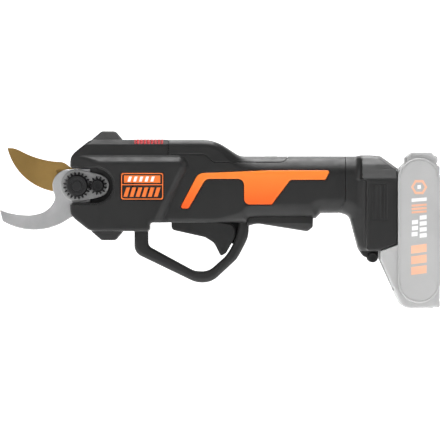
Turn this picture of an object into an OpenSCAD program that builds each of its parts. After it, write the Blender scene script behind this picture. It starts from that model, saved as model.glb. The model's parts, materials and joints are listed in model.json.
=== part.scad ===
// Battery electric pruner with a bypass cutting head, a two-stage planetary drive and a slide-on battery.
// Drawn about the blade pivot: X runs back along the tool, Y across it, Z up. place() then moves
// every sub-part so that the origin is the centre of the whole tool's box.

/* [Housing] */
// Half width of the motor housing
body_half_w = 30; // [28:0.5:32]
// Half width of the middle of the tool, above the trigger
mid_half_w = 24; // [23:0.5:26]
// Half width of the handle
grip_half_w = 21; // [19:0.5:23]
// Thickness of the moulded walls
wall = 2.4; // [2:0.1:2.8]
// Half width of the trigger guard
guard_half_w = 8; // [7.8:0.2:10]
// Half width of the battery receiver
foot_half_w = 36; // [34:0.5:37]

/* [Cutting head] */
// Thickness of the fixed hook blade
hook_t = 3.5; // [3:0.1:4]
// Thickness of the moving blade
blade_t = 3; // [2.5:0.1:3.2]
// Radius of the pivot bolt
bolt_r = 4; // [3.5:0.1:4]
// Distance between the pivot nut and the adjuster
adjuster_x = 16; // [15.9:0.1:16.2]

/* [Drive] */
// Sideways offset of the motor and gearbox axis
drive_y = 3; // [2.8:0.1:3.2]
// Module of the bevel gears
bevel_m = 1.1; // [1:0.05:1.1]
// Module of the planetary gears
planet_m = 0.58; // [0.54:0.01:0.58]
// Radius of the motor and of the gearbox
motor_r = 17; // [16.5:0.1:17.5]

/* [Battery] */
// Half width of the battery pack over its side panels
pack_half_w = 40; // [38:0.5:41]
// Radius of one cell
cell_r = 9.25; // [9:0.05:9.3]
// Length of one cell
cell_len = 65; // [63:0.5:65.5]

/* [Hidden] */

$fn = 48;
gap = 0.1;

// The stack across the pivot, from the handle's left side inwards
hook_y = -12.2;                     // outer face of the hook blade
blade_y = hook_y + hook_t + gap;    // outer face of the moving blade
sector_y = blade_y + blade_t;       // outer face of the bevel sector
plate_t = 2;                        // thickness of the lock plate
nut_t = 5.2;                        // thickness of the pivot nut
lock_y = hook_y - plate_t - gap;    // inner face of the pivot nut and of the adjuster
cheek_y = 10.2;                     // inner face of the gear head's right cheek
cheek_t = 3;

// Bevel gears: a 10-tooth pinion drives a 36-tooth sector
pinion_z = 10;
sector_z = 36;
pinion_r = bevel_m * pinion_z / 2;
sector_r = bevel_m * sector_z / 2;
bevel_face = 6;
bevel_taper = (sector_r - bevel_face) / sector_r;

// Planetary stages: sun, planet and ring teeth
sun_z = 12;
planet_z = 18;
ring_z = 48;
orbit_r = planet_m * (sun_z + planet_z) / 2;
planet_turn = 10;                   // puts the planets' teeth in mesh with the sun and the ring
ring_turn = planet_turn * planet_z / ring_z;
stage_x = [48.4, 58.2];             // front faces of the planets of the output and the input stage
planet_t = 5.4;
gearbox_x = 44.4;
gearbox_len = 20.2;
motor_x = gearbox_x + gearbox_len;
motor_len = 40;

// Lock gears
nut_z = 20;
adjuster_z = 13;
lock_m = 2 * adjuster_x / (nut_z + adjuster_z);

// Trigger
trigger_pivot = [76, -24.2];
trigger_reach = 49.3;               // the guard's inner face is an arc about the trigger's pivot
trigger_half_w = 6.5;

// Battery pack
button_x = 150;
lens_x = 141.2;
pack_x = 247.5;                     // where the pack meets the foot
pack_depth = 32.5;
pack_body_half_w = pack_half_w - 4;
pack_wall = 2.2;
cell_x = 267.2;
cell_low_z = -76;
cell_pitch = 19.2;
rail_half_w = 30.5;
neck_half_w = 26.5;

// Outlines: each row is [x, z, corner radius]
front_side = [
    [-5.4, -22.2, 12], [10.3, -35, 0], [56.2, -35, 0], [56.2, -28.5, 0], [66.8, -28.5, 0],
    [86.7, 18, 0], [86.7, 35.5, 0], [10.6, 35.5, 0], [-5.4, 22.8, 14]
];
rear_side = [
    [62, -28.3, 0], [131, -28.3, 1], [133.5, -25.2, 1], [184.3, -25.2, 0.5], [188.8, -20.8, 3.5],
    [201.7, -20.8, 0.5], [207.4, -11, 2], [207.4, 22.8, 0], [125.3, 22.8, 10], [109.5, 35.3, 30],
    [62, 35.3, 0]
];
bumper_side = [[10.8, 35.5, 0], [36, 35.5, 0], [29.5, 42.5, 4], [19.4, 42.5, 2.5]];
guard_outer = [
    [44.3, -34, 0], [44.3, -52, 9], [92, -75, 14], [104, -75, 16], [124, -56.5, 20],
    [132.6, -40, 20], [133.3, -25.4, 0]
];
guard_inner = [[55, -20, 0], [55, -46.6, 5], [90.5, -65.9, 8], [101.5, -66.6, 8], [114.5, -55, 0], [90, -20, 0]];
trigger_side = [
    [73, -20.6, 3], [73, -34, 3.2], [99, -39.8, 10], [106, -44.2, 8], [111.3, -54.6, 1.4],
    [115.4, -52, 1], [122.6, -39.3, 6], [122.4, -29.5, 6], [110, -27.6, 4], [79.5, -20.6, 3]
];
trim_side = [
    [79.6, -17.6, 1.6], [86.3, -17.6, 1.6], [99.6, 5.3, 5], [129.2, 5.3, 5], [129.2, -14.5, 4.5],
    [150.6, -14.5, 1.5], [165, 4.6, 2.5], [192, 4.6, 1.6], [196, 11.9, 1.6], [148, 11.9, 60],
    [93.8, 9.6, 7]
];
foot_side = [
    [207.6, -10.9, 1], [202.1, -20.8, 0], [210.5, -23, 8], [217.5, -48, 8], [222.4, -55.4, 4],
    [233.4, -55.4, 0.5], [233.9, -49.7, 0], [247.4, -44.8, 2], [247.4, 12.2, 0.5], [233.6, 22, 0.5],
    [207.6, 22.8, 0]
];
receiver_side = [
    [219.5, -46, 3], [223, -49.6, 1], [233.9, -49.7, 0], [247.4, -44.8, 2], [247.4, 8, 0.5],
    [237, 17.5, 1], [219.5, 17.5, 0.5]
];
pack_low = [
    [248, -46.4, 0], [234.5, -51.2, 0.5], [234.2, -56.5, 1], [251.4, -94.5, 8], [279.8, -94.5, 1.5],
    [279.8, -20, 0], [248, -20, 0]
];
pack_cap = [
    [254.6, 8, 0], [279.6, 8, 0], [279.6, 14.8, 0], [276.2, 16.4, 0], [278.2, 18.2, 0],
    [278.2, 22.6, 0], [275.3, 23.3, 0], [273.3, 25.6, 0], [258.2, 25.6, 0], [254.6, 22.3, 0]
];
boss_r = 4.2;
housing_screw_at = [[44, 27.5], [48, -29.5], [104, 26], [131, -20.5], [176, 17.2], [199.6, 14.4], [197, -15.5]];
foot_screw_at = [[213, 14], [214, -15]];

// ---------- helpers ----------

module place() translate([-110, 0, 26]) children();

function unit(v) = v / norm(v);

// Points of one rounded corner b between its neighbours a and c
function corner(a, b, c, r) =
    let (u = unit([a[0] - b[0], a[1] - b[1]]), v = unit([c[0] - b[0], c[1] - b[1]]))
    let (half = acos(max(-1, min(1, u * v))) / 2, cut = r / tan(half))
    let (mid = [b[0], b[1]] + unit(u + v) * r / sin(half))
    let (p = [b[0], b[1]] + u * cut - mid, q = [b[0], b[1]] + v * cut - mid)
    let (from = atan2(p[1], p[0]), sweep = ((atan2(q[1], q[0]) - from + 540) % 360) - 180)
    let (n = max(2, ceil(abs(sweep) / 15)))
    [for (i = [0:n]) mid + r * [cos(from + sweep * i / n), sin(from + sweep * i / n)]];

// An outline of [x, y, radius] rows as plain points
function rounded(rows) = let (n = len(rows)) [
    for (i = [0:n - 1])
        for (p = rows[i][2] <= 0 ? [[rows[i][0], rows[i][1]]]
                : corner(rows[(i + n - 1) % n], rows[i], rows[(i + 1) % n], rows[i][2])) p
];

function left_of(a, b) = unit([a[1] - b[1], b[0] - a[0]]);

// A counter-clockwise outline moved in by t
function inset(p, t) = let (n = len(p)) [
    for (i = [0:n - 1])
        let (u = left_of(p[(i + n - 1) % n], p[i]), v = left_of(p[i], p[(i + 1) % n]))
        p[i] + (u + v) * t / (1 + u * v)
];

// An outline in X and Z as a slab from y0 to y1
module slab(points, y0, y1) translate([0, y1, 0]) rotate([90, 0, 0]) linear_extrude(y1 - y0) polygon(points);

// A disc or a ring across the tool, on the axis [x, z]
module across(at, r, y0, y1) translate([at[0], y1, at[1]]) rotate([90, 0, 0]) cylinder(r = r, h = y1 - y0);

// A disc along the tool, on the drive axis
module along(r, x0, x1) translate([x0, drive_y, 0]) rotate([0, 90, 0]) cylinder(r = r, h = x1 - x0);

module box(low, high) translate(low) cube(high - low);

// A disc across the tool on one side of the middle, from y0 out to y1
module side_disc(side, at, r, y0, y1) across(at, r, side < 0 ? -y1 : y0, side < 0 ? -y0 : y1);

module half(side) intersection() {
    children();
    if (side < 0) box([-20, -60, -110], [300, 0, 60]);
    else box([-20, 0, -110], [300, 60, 60]);
}

// An outline of rows moved in by t, with its corners rounded to suit
function bend(a, b, c) = (b[0] - a[0]) * (c[1] - b[1]) - (b[1] - a[1]) * (c[0] - b[0]);
function shrunk(rows, t) = let (n = len(rows), p = [for (r = rows) [r[0], r[1]]], q = inset(p, t)) rounded([
    for (i = [0:n - 1])
        let (out = bend(p[(i + n - 1) % n], p[i], p[(i + 1) % n]) > 0, r = rows[i][2])
        [q[i][0], q[i][1], r <= 0 ? 0 : max(0, r + (out ? -t : t))]
]);

// Involute gear outline. swell adds to the tooth thickness, and is negative for backlash
function involute(a) = tan(a) * 180 / PI - a;
function flank(r, rb, rp, z, swell) =
    90 / z + swell / 2 / rp * 180 / PI + involute(20) - involute(acos(min(1, rb / r)));
function gear_points(m, z, add, ded, swell) =
    let (rp = m * z / 2, rb = rp * cos(20), low = max(rb, rp - ded), high = rp + add, steps = 3)
    let (radii = [for (i = [0:steps]) low + (high - low) * i / steps])
    [for (k = [0:z - 1]) for (p = concat(
        low > rp - ded ? [[rp - ded, -flank(low, rb, rp, z, swell)]] : [],
        [for (i = [0:steps]) [radii[i], -flank(radii[i], rb, rp, z, swell)]],
        [for (i = [steps:-1:0]) [radii[i], flank(radii[i], rb, rp, z, swell)]],
        low > rp - ded ? [[rp - ded, flank(low, rb, rp, z, swell)]] : []))
        p[0] * [cos(p[1] + 360 * k / z), sin(p[1] + 360 * k / z)]];

// A round tube with mitred bends through the given points
function tube_frame(d) = let (side = unit(cross(d, abs(d[2]) > 0.9 ? [0, 1, 0] : [0, 0, 1]))) [side, cross(d, side)];
module tube(path, r, sides = 8) {
    n = len(path);
    rings = [for (i = [0:n - 1])
        let (d = unit(path[min(i + 1, n - 1)] - path[max(i - 1, 0)]), f = tube_frame(d))
        for (k = [0:sides - 1]) path[i] + r * (f[0] * cos(360 * k / sides) + f[1] * sin(360 * k / sides))];
    polyhedron(rings, concat(
        [[for (k = [0:sides - 1]) k]],
        [for (i = [0:n - 2]) for (k = [0:sides - 1]) let (j = (k + 1) % sides)
            for (f = [[k, sides + k, sides + j], [k, sides + j, j]]) [for (v = f) i * sides + v]],
        [[for (k = [sides - 1:-1:0]) (n - 1) * sides + k]]), convexity = 6);
}

// A coil spring standing on the XY plane
module coil(r, wire, height, turns) {
    steps = turns * 10;
    tube([for (i = [0:steps]) [r * cos(36 * i), r * sin(36 * i), wire + (height - 2 * wire) * i / steps]], wire, 6);
}

// ---------- housing ----------

front_section = [[-20, 35.5], [-24, 31.6], [-24, 23.9], [-body_half_w, 17.7], [-body_half_w, -22],
    [-24, -31], [-20, -35], [20, -35], [24, -31], [body_half_w, -22], [body_half_w, 17.7],
    [24, 23.9], [24, 31.6], [20, 35.5]];
mid_section = [[-14, 35.5], [-20, 31], [-mid_half_w, 20], [-mid_half_w, -24], [-19, -28.5], [19, -28.5],
    [mid_half_w, -24], [mid_half_w, 20], [20, 31], [14, 35.5]];
grip_section = [[-9, 22.8], [-17, 18.5], [-grip_half_w, 8], [-grip_half_w, -12], [-17, -20],
    [-10, -25.2], [10, -25.2], [17, -20], [grip_half_w, -12], [grip_half_w, 8], [17, 18.5], [9, 22.8]];

module run_x(section, x0, x1) translate([x0, 0, 0]) rotate([90, 0, 90]) linear_extrude(x1 - x0) polygon(section);

// The solid housing, without guard and bumpers, moved in by t
module housing_mass(t) {
    nose = [[-5.4, -22], [17, -body_half_w], [88, -body_half_w], [88, body_half_w], [17, body_half_w], [-5.4, 22]];
    intersection() {
        slab(shrunk(front_side, t), -40, 40);
        run_x(inset(front_section, t), -10, 100);
        translate([0, 0, -60]) linear_extrude(120) polygon(inset(nose, t));
    }
    intersection() {
        slab(shrunk(rear_side, t), -40, 40);
        union() {
            run_x(inset(mid_section, t), 50, 130 - t);
            run_x(inset(grip_section, t), 118, 220);
        }
    }
}

module guard_half(y0, y1) difference() {
    slab(rounded(guard_outer), y0, y1);
    slab(rounded(guard_inner), -20, 20);
    // Behind the trigger the guard is an arc about the trigger's pivot
    behind = [for (a = [-38.6:3.86:0]) trigger_pivot + trigger_reach * [cos(a), sin(a)]];
    slab(concat([[88, -20], [88, -54]], behind, [[125.3, -20]]), -20, 20);
}

module shell_bosses(side) {
    for (p = housing_screw_at) side_disc(side, p, boss_r, 0, 26);
}

// Ribs that hold the gear head, the gearbox and the motor
module drive_ribs() {
    difference() {
        box([33, -28, -34], [35.4, 28, 34]);
        box([30, -10.4, -17.3], [40, 13.3, 17.3]);
    }
    for (x = [52, 92]) difference() {
        box([x, -28, -34], [x + 2.4, 28, 6]);
        along(motor_r + gap, x - 1, x + 4);
    }
}

// Room for the trigger inside the shells
module trigger_room() {
    intersection() {
        across(trigger_pivot, trigger_reach + 0.2, -trigger_half_w - 0.5, trigger_half_w + 0.5);
        box([70, -10, -29.5], [130, 10, -19]);
    }
}

module shell(side) {
    difference() {
        union() {
            half(side) difference() {
                housing_mass(0);
                difference() {
                    housing_mass(wall);
                    drive_ribs();
                }
                box([200, -15, -15], [210, 15, 17]);
            }
            guard_half(side < 0 ? -guard_half_w : 0, side < 0 ? 0 : guard_half_w);
            intersection() {
                shell_bosses(side);
                housing_mass(1);
            }
            if (side < 0) intersection() {
                union() {
                    recess(2.2, -40, hook_y - gap / 2);
                    intersection() {
                        recess(2.2, -40, hook_y + 1.8);
                        box([10.3, -40, -20], [40, 0, 20]);
                    }
                }
                housing_mass(0.4);
            }
            else intersection() {
                across([0, 0], 11.6, cheek_y + cheek_t + 1, 40);
                housing_mass(0.4);
            }
            // Ledges under the controller board
            intersection() {
                for (x = [136, 184]) box([x, side < 0 ? -20 : 12, -7], [x + 4, side < 0 ? -12 : 20, -5.05]);
                housing_mass(1);
            }
            // Pillars that hold the trigger's pin
            intersection() {
                side_disc(side, trigger_pivot, 3.4, 7.4, 29);
                housing_mass(1);
            }
        }
        trigger_room();
        across(trigger_pivot, 1.6, -14, 14);
        // The slot for the blades, and the openings for the sector and its hub behind them
        box([-8, hook_y - gap, -34], [3, sector_y + gap, 28]);
        box([-9, sector_y, -14.5], [0, 3, 12]);
        box([-9, sector_y, -9], [0, cheek_y + cheek_t + gap, 9]);
        // Slots that hold the trigger's sensor board
        box([82.9, -9.1, -19.5], [101.1, 9.1, -18.1]);
        button_hole();
        if (side < 0) {
            recess(0, -40, hook_y - 1e-3);
            box([-8, hook_y - 0.5, -13.3], [10.3, -4, 13.3]);
            across([adjuster_x, 0], 2.3, -20, 0);
        }
        else across([0, 0], 9.4, cheek_y + cheek_t - 0.4, 40);
        for (p = housing_screw_at) {
            if (side < 0) across(p, 1.45, -15, 1);
            else {
                across(p, 1.75, -1, 40);
                across(p, 3.15, 13.5, 40);
            }
        }
        trim_pocket(side);
        nameplate_pocket(side);
        cover_pocket();
        badge_solid(0.15, 1);
        box([203, -14, -12], [210, 14, 16]);
    }
}

// Openings for the power button and the indicator
module button_hole() {
    translate([button_x, 0, 12]) cylinder(r = 5.3, h = 30);
    for (k = [0:2]) box([lens_x - 0.05, -4.05 + 3 * k, 12], [lens_x + 1.85, -1.95 + 3 * k, 30]);
}

// The stadium round the lock gears, grown by t
module recess(t, y0, y1) {
    r = 13.35 + t;
    across([14.7, 0], r, y0, y1);
    box([-20, y0, -r], [14.7, y1, r]);
}

module trim_pocket(side) difference() {
    slab(shrunk(trim_side, -0.4), side < 0 ? -40 : 15, side < 0 ? -15 : 40);
    housing_mass(1.3);
}

module nameplate_pocket(side) slab(inset(plate_points(), -0.15), side < 0 ? -40 : body_half_w - 1, side < 0 ? -body_half_w + 1 : 40);

function plate_points() = rounded([[34.2, -10.9, 1.5], [67, -10.9, 1.5], [67, 9.9, 1.5], [34.2, 9.9, 1.5]]);

module cover_solid(t) intersection() {
    difference() {
        slab(inset(rounded([
            [70.8, 24.3, 0.5], [99, 24.3, 4], [106, 18.2, 4], [160, 18.2, 5], [164, 24, 1], [164, 40, 0], [70.8, 40, 0]
        ]), -t), -40, 40);
        housing_mass(wall * 0.5);
        button_hole();
    }
    housing_mass(0);
}

module cover_pocket() {
    difference() {
        slab(rounded([
            [70.7, 24.2, 0], [99, 24.2, 4], [106, 18.1, 4], [160, 18.1, 5], [164.1, 24, 1], [164.1, 40, 0], [70.7, 40, 0]
        ]), -40, 40);
        housing_mass(wall * 0.5 + 0.1);
    }
}

module badge_solid(t, deep) intersection() {
    box([44.6 - t, -12 - t, 35.5 - deep], [66.7 + t, 12 + t, 36]);
    box([-20, -60, -110], [300, 60, 35.5 + t]);
}

module left_shell() place() color([0.22, 0.22, 0.22]) shell(-1);

module right_shell() place() color([0.22, 0.22, 0.22]) shell(1);

module top_cover() place() color([0.27, 0.27, 0.27]) cover_solid(0);

module lower_grip() place() color([0.2, 0.2, 0.2]) intersection() {
    slab(rounded([
        [134, -29.9, 0.5], [139.5, -29.4, 12], [178.5, -35.2, 3.5], [182.2, -32, 2], [182.6, -25.3, 0], [134, -25.3, 0]
    ]), -40, 40);
    run_x([[-14, -25], [-14, -29], [-9, -36], [9, -36], [14, -29], [14, -25]], 130, 185);
}

module trim(side) difference() {
    intersection() {
        slab(rounded(trim_side), side < 0 ? -40 : 15, side < 0 ? -15 : 40);
        housing_mass(-0.4);
    }
    housing_mass(1.2);
}

module left_trim() place() color([1, 0.5, 0.18]) trim(-1);

module right_trim() place() color([1, 0.5, 0.18]) trim(1);

module left_nameplate() place() color([0.9, 0.45, 0.15]) slab(plate_points(), -body_half_w - 0.2, -body_half_w + 0.9);

module right_nameplate() place() color([0.9, 0.45, 0.15]) slab(plate_points(), body_half_w - 0.9, body_half_w + 0.2);

module top_badge() place() color([0.8, 0.2, 0.22]) badge_solid(0, 0.9);

module front_bumpers() place() color([0.25, 0.25, 0.25]) {
    // The lower one is set against the housing's flat bottom, 0.5 mm nearer the middle
    for (s = [1, -1]) scale([1, 1, s]) translate([0, 0, s < 0 ? -0.5 : 0]) intersection() {
        slab(rounded(bumper_side), -16, 16);
        run_x([[-16, 35.5], [16, 35.5], [10, 43], [-10, 43]], 0, 50);
    }
}

module lanyard_pin() place() color([0.12, 0.12, 0.12]) {
    across([228.7, -55.3], 2, -17, 17);
    across([228.7, -55.3], 4.05, -17, -14.2);
    across([228.7, -55.3], 4.05, 14.2, 17);
}

module screw(at, r, y0, y1, head_r, head_t) difference() {
    union() {
        across(at, r, y0, y1);
        across(at, head_r, y1, y1 + head_t);
    }
    translate([at[0], y1 + head_t + 1, at[1]]) rotate([90, 0, 0]) cylinder(r = 1.3, h = 2.6, $fn = 6);
}

module housing_screws() place() color([0.35, 0.35, 0.36]) for (p = housing_screw_at) screw(p, 1.4, -13, 13.5, 3, 2.2);

// ---------- foot ----------

foot_section = [[-9, 22.8], [-17, 18.5], [-21, 8], [-21, -60], [21, -60], [21, 8], [17, 18.5], [9, 22.8]];

module foot_mass(t) {
    intersection() {
        slab(shrunk(foot_side, t), -60, 60);
        run_x(inset(foot_section, t), 200, 250);
    }
    intersection() {
        slab(shrunk(receiver_side, t), -foot_half_w + t, foot_half_w - t);
        translate([0, 0, -80]) linear_extrude(140) polygon(inset([
            [219.5, -26], [229, -foot_half_w], [260, -foot_half_w], [260, foot_half_w], [229, foot_half_w], [219.5, 26]
        ], t));
    }
}

module foot(side) difference() {
    union() {
        half(side) difference() {
            foot_mass(0);
            difference() {
                foot_mass(wall);
                // Web that carries the terminal block, and the wall between the lugs and the hollow
                box([232.5, -40, -50], [236.4, 40, 20]);
                box([200, -40, -60], [250, 40, -46]);
            }
            box([200, -15, -15], [212, 15, 17]);
        }
        intersection() {
            for (p = foot_screw_at) side_disc(side, p, boss_r, 0, 26);
            foot_mass(1);
        }
    }
    // The channel that takes the pack's rails, open at its lower end
    box([236.5, -rail_half_w - 0.4, -80], [243.6, rail_half_w + 0.4, 12.6]);
    box([236.5, -neck_half_w - 0.4, -80], [260, neck_half_w + 0.4, 12.6]);
    // Room for the latch and the lanyard
    box([233.2, -16, -62], [240, 16, -47]);
    box([215, -9, -62], [235, 9, -48.7]);
    box([215, -40, -62], [235, -14, -50.5]);
    box([215, 14, -62], [235, 40, -50.5]);
    across([228.7, -55.3], 2.02, -20, 20);
    box([230, -21.2, -22.2], [240, 21.2, 9.2]);
    for (p = foot_screw_at) {
        if (side < 0) across(p, 1.45, -15, 1);
        else {
            across(p, 1.75, -1, 40);
            across(p, 3.15, 13.5, 40);
        }
    }
}

module left_foot_shell() place() color([0.24, 0.24, 0.24]) foot(-1);

module right_foot_shell() place() color([0.24, 0.24, 0.24]) foot(1);

module foot_screws() place() color([0.35, 0.35, 0.36]) for (p = foot_screw_at) screw(p, 1.4, -13, 13.5, 3, 2.2);

module terminal_block() place() color([0.1, 0.1, 0.1]) difference() {
    box([230.2, -21, -22], [236.3, 21, 9]);
    for (y = [-15, -5, 5, 15]) box([229, y - 0.5, -18], [240, y + 0.5, 2]);
}

module terminal_blades() place() color([0.8, 0.75, 0.6]) for (y = [-15, -5, 5, 15]) box([227.5, y - 0.4, -17.8], [245.5, y + 0.4, 1.8]);

// ---------- cutting head ----------

// Points of an arc through three points
function arc3(a, b, c, n) =
    let (d = 2 * (a[0] * (b[1] - c[1]) + b[0] * (c[1] - a[1]) + c[0] * (a[1] - b[1])))
    let (ox = (a * a * (b[1] - c[1]) + b * b * (c[1] - a[1]) + c * c * (a[1] - b[1])) / d)
    let (oz = (a * a * (c[0] - b[0]) + b * b * (a[0] - c[0]) + c * c * (b[0] - a[0])) / d)
    let (o = [ox, oz], r = norm(a - o), from = atan2(a[1] - oz, a[0] - ox))
    let (turn = ((atan2(c[1] - oz, c[0] - ox) - from + 540) % 360) - 180)
    [for (i = [0:n]) o + r * [cos(from + turn * i / n), sin(from + turn * i / n)]];

module fixed_blade() place() color([0.72, 0.72, 0.73]) difference() {
    slab(concat(
        [[-60, -18.2]],
        arc3([-57.6, -27.5], [-34.7, -34.1], [-11.5, -28.8], 10),
        [[-2.6, -23.4], [7.5, -13.1], [10.1, -13.1], [10.1, 13.1], [-1, 13.1]],
        arc3([-6, 12.6], [-15.6, 8.8], [-19, 0], 6),
        arc3([-18.6, -4.4], [-17.3, -8.7], [-17.6, -11.4], 3),
        arc3([-18.2, -12.9], [-22.6, -18.4], [-30, -21.8], 6),
        arc3([-34.5, -22.4], [-48, -21.6], [-59.6, -18.3], 6)
    ), hook_y, hook_y + hook_t);
    across([0, 0], bolt_r + 0.02, -20, 0);
}

module moving_blade() place() color([0.62, 0.5, 0.26]) difference() {
    union() {
        slab(concat(
            arc3([-54.1, 29.3], [-40.1, 6], [-18.4, -4.4], 12),
            [[-10, -8.5], [0, -13], [0, 13], [-5.3, 14.4], [-9.1, 17.3], [-11.5, 18.4]],
            arc3([-16.9, 18.7], [-30.8, 21.5], [-44.8, 27.5], 6),
            [[-49.4, 29.2]]
        ), blade_y, blade_y + blade_t);
        across([0, 0], 13.4, blade_y, blade_y + blade_t);
    }
    across([0, 0], bolt_r + 0.05, -20, 0);
    for (a = [10, -25, -60]) across(10.8 * [cos(a), sin(a)], 1.5, -20, 0);
    across([-14, 11], 1.6, -20, 0);
}

module pivot_bolt() place() color([0.3, 0.3, 0.31]) {
    across([0, 0], bolt_r, lock_y - nut_t + 0.3, cheek_y + cheek_t);
    translate([0, cheek_y + cheek_t + 4.6, 0]) rotate([90, 0, 0]) cylinder(r = 7, h = 4.6, $fn = 6);
}

module pivot_nut() place() color([0.17, 0.17, 0.17]) difference() {
    union() {
        slab(
            [for (p = gear_points(lock_m, nut_z, 0.98, 1.25, -0.12)) [p[0] * cos(9) - p[1] * sin(9), p[0] * sin(9) + p[1] * cos(9)]],
            lock_y - 4, lock_y);
        across([0, 0], 8.2, lock_y - nut_t, lock_y);
    }
    across([0, 0], bolt_r + 0.05, -30, 0);
    across([0, 0], 5.4, -30, lock_y - nut_t + 0.6);
}

module lock_plate() place() color([0.66, 0.66, 0.66]) difference() {
    union() {
        across([0, 0], 12.6, hook_y - plate_t, hook_y);
        across([adjuster_x, 0], 8.8, hook_y - plate_t, hook_y);
        slab([[1.5, -12.5], [14.2, -8.6], [14.2, 8.6], [1.5, 12.5]], hook_y - plate_t, hook_y);
    }
    across([0, 0], bolt_r + 0.02, -20, 0);
    across([adjuster_x, 0], 2.1, -20, 0);
}

module adjuster_gear() place() color([0.17, 0.17, 0.17]) translate([adjuster_x, 0, 0]) difference() {
    union() {
        slab(
            [for (p = gear_points(lock_m, adjuster_z, 0.98, 1.25, -0.12)) let (a = 180 / adjuster_z)
                [p[0] * cos(a) - p[1] * sin(a), p[0] * sin(a) + p[1] * cos(a)]],
            lock_y - 3.8, lock_y);
        across([0, 0], 4.6, lock_y - 4.6, lock_y);
    }
    across([0, 0], 2.05, -30, 0);
    across([0, 0], 3.5, -30, lock_y - 1.6);
}

module adjuster_screw() place() color([0.15, 0.15, 0.15]) translate([adjuster_x, 0, 0]) difference() {
    union() {
        across([0, 0], 2, lock_y - 1.8, hook_y + hook_t - gap);
        across([0, 0], 3.4, lock_y - 4.2, lock_y - 1.7);
    }
    translate([0, lock_y - 2.5, 0]) rotate([90, 0, 0]) cylinder(r = 2.2, h = 4, $fn = 6);
}

// ---------- bevel drive ----------

// One tapered tooth of the sector, at an angle in the XZ plane
module sector_tooth(angle) {
    slope = norm([pinion_r, sector_r]);
    out = [pinion_r, sector_r] / slope;
    tip = 0.8 * bevel_m;
    root = 1.5 * bevel_m;
    mid = PI * bevel_m / 4 - 0.08;
    ring = [for (s = [bevel_taper, 1]) for (q = [[-root, 1], [tip, 1], [tip, -1], [-root, -1]])
        let (r = s * (sector_r + q[0] * out[0]), y = drive_y + s * (-pinion_r + q[0] * out[1]))
        let (w = s * q[1] * (mid - q[0] * tan(20)))
        [r * cos(angle) - w * sin(angle), y, r * sin(angle) + w * cos(angle)]];
    polyhedron(ring, [[0, 3, 2, 1], [4, 5, 6, 7], [0, 1, 5, 4], [1, 2, 6, 5], [2, 3, 7, 6], [3, 0, 4, 7]]);
}

module bevel_sector() place() color([0.5, 0.5, 0.52]) difference() {
    root_y = drive_y - pinion_r - 1.37 * bevel_m * 0.9635;
    root_r = sector_r - 1.37 * bevel_m * 0.2676;
    union() {
        intersection() {
            rotate([90, 0, 0]) rotate_extrude() polygon([
                [5, -sector_y], [root_r, -sector_y], [root_r, -root_y],
                [root_r * bevel_taper, -(drive_y + (root_y - drive_y) * bevel_taper)],
                [root_r * bevel_taper - 0.3, 2.6], [5, 2.6]
            ]);
            slab([[-7, 7], [-3, 9], [30, 12.4], [30, -60], [4.5, -30], [-4, -12], [-7, -7]], -10, 10);
        }
        for (k = [0:8]) sector_tooth(15 - 10 * k);
        rotate([90, 0, 0]) rotate_extrude() polygon([[4, -sector_y], [8, -sector_y], [8, -cheek_y + gap], [4, -cheek_y + gap]]);
    }
    across([0, 0], bolt_r + 0.05, -20, 20);
    for (a = [10, -25, -60]) across(10.8 * [cos(a), sin(a)], 1.5, -20, 0);
}

module sector_rivets() place() color([0.6, 0.6, 0.62]) for (a = [10, -25, -60]) {
    across(10.8 * [cos(a), sin(a)], 1.5, blade_y, -2.6);
    across(10.8 * [cos(a), sin(a)], 2.3, -2.6, -1.6);
}

module gear_head() place() color([0.6, 0.61, 0.63]) difference() {
    union() {
        across([0, 0], 8.4, cheek_y, cheek_y + cheek_t);
        box([0, cheek_y, -8.4], [24.5, cheek_y + cheek_t, 8.4]);
        box([24.4, hook_y + 1.9, -17.2], [44, cheek_y + cheek_t, 17.2]);
        box([10.25, hook_y + 1.9, -17.2], [24.5, hook_y + hook_t, 17.2]);
    }
    across([0, 0], bolt_r + 0.02, -20, 20);
    across([adjuster_x, 0], 2.02, -20, 0);
    along(9.52, 24, 31);
    along(7.5, 30, 38);
    along(9.52, 36, 45);
    for (y = [-1, 1], z = [-1, 1]) translate([30, drive_y + y * 6.5, z * 12]) rotate([0, 90, 0]) cylinder(r = 1.25, h = 20);
}

module gear_head_screws() place() color([0.4, 0.4, 0.42]) for (y = [-1, 1], z = [-1, 1])
    translate([0, drive_y + y * 6.5, z * 12]) rotate([0, 90, 0]) {
        translate([0, 0, 36]) cylinder(r = 1.2, h = 10.1);
        translate([0, 0, 46.05]) cylinder(r = 2, h = 1.1);
    }

module bevel_pinion() place() color([0.55, 0.55, 0.57]) {
    translate([sector_r, drive_y, 0]) rotate([90, 0, -90])
        linear_extrude(bevel_face, scale = bevel_taper)
            polygon(gear_points(bevel_m, pinion_z, 0.9 * bevel_m, 1.2 * bevel_m, -0.16));
    along(4.6, sector_r, 24.8);
    along(3, 24.8, 45.6);
}

// A ball bearing on the drive axis
module bearing(x) {
    for (r = [[9.5, 7.7], [4.5, 3.02]]) difference() {
        along(r[0], x, x + 6);
        along(r[1], x - 1, x + 7);
    }
    for (k = [0:6]) translate([x + 3, drive_y + 6.1 * cos(k * 360 / 7), 6.1 * sin(k * 360 / 7)]) sphere(r = 1.5, $fn = 24);
}

module pinion_bearings() place() color([0.75, 0.75, 0.78]) {
    bearing(25);
    bearing(36.2);
}

// ---------- planetary gearbox ----------

module x_gear(points, x0, x1, turn) translate([x0, drive_y, 0]) rotate([90, 0, 90]) linear_extrude(x1 - x0) rotate(turn) polygon(points);

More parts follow.
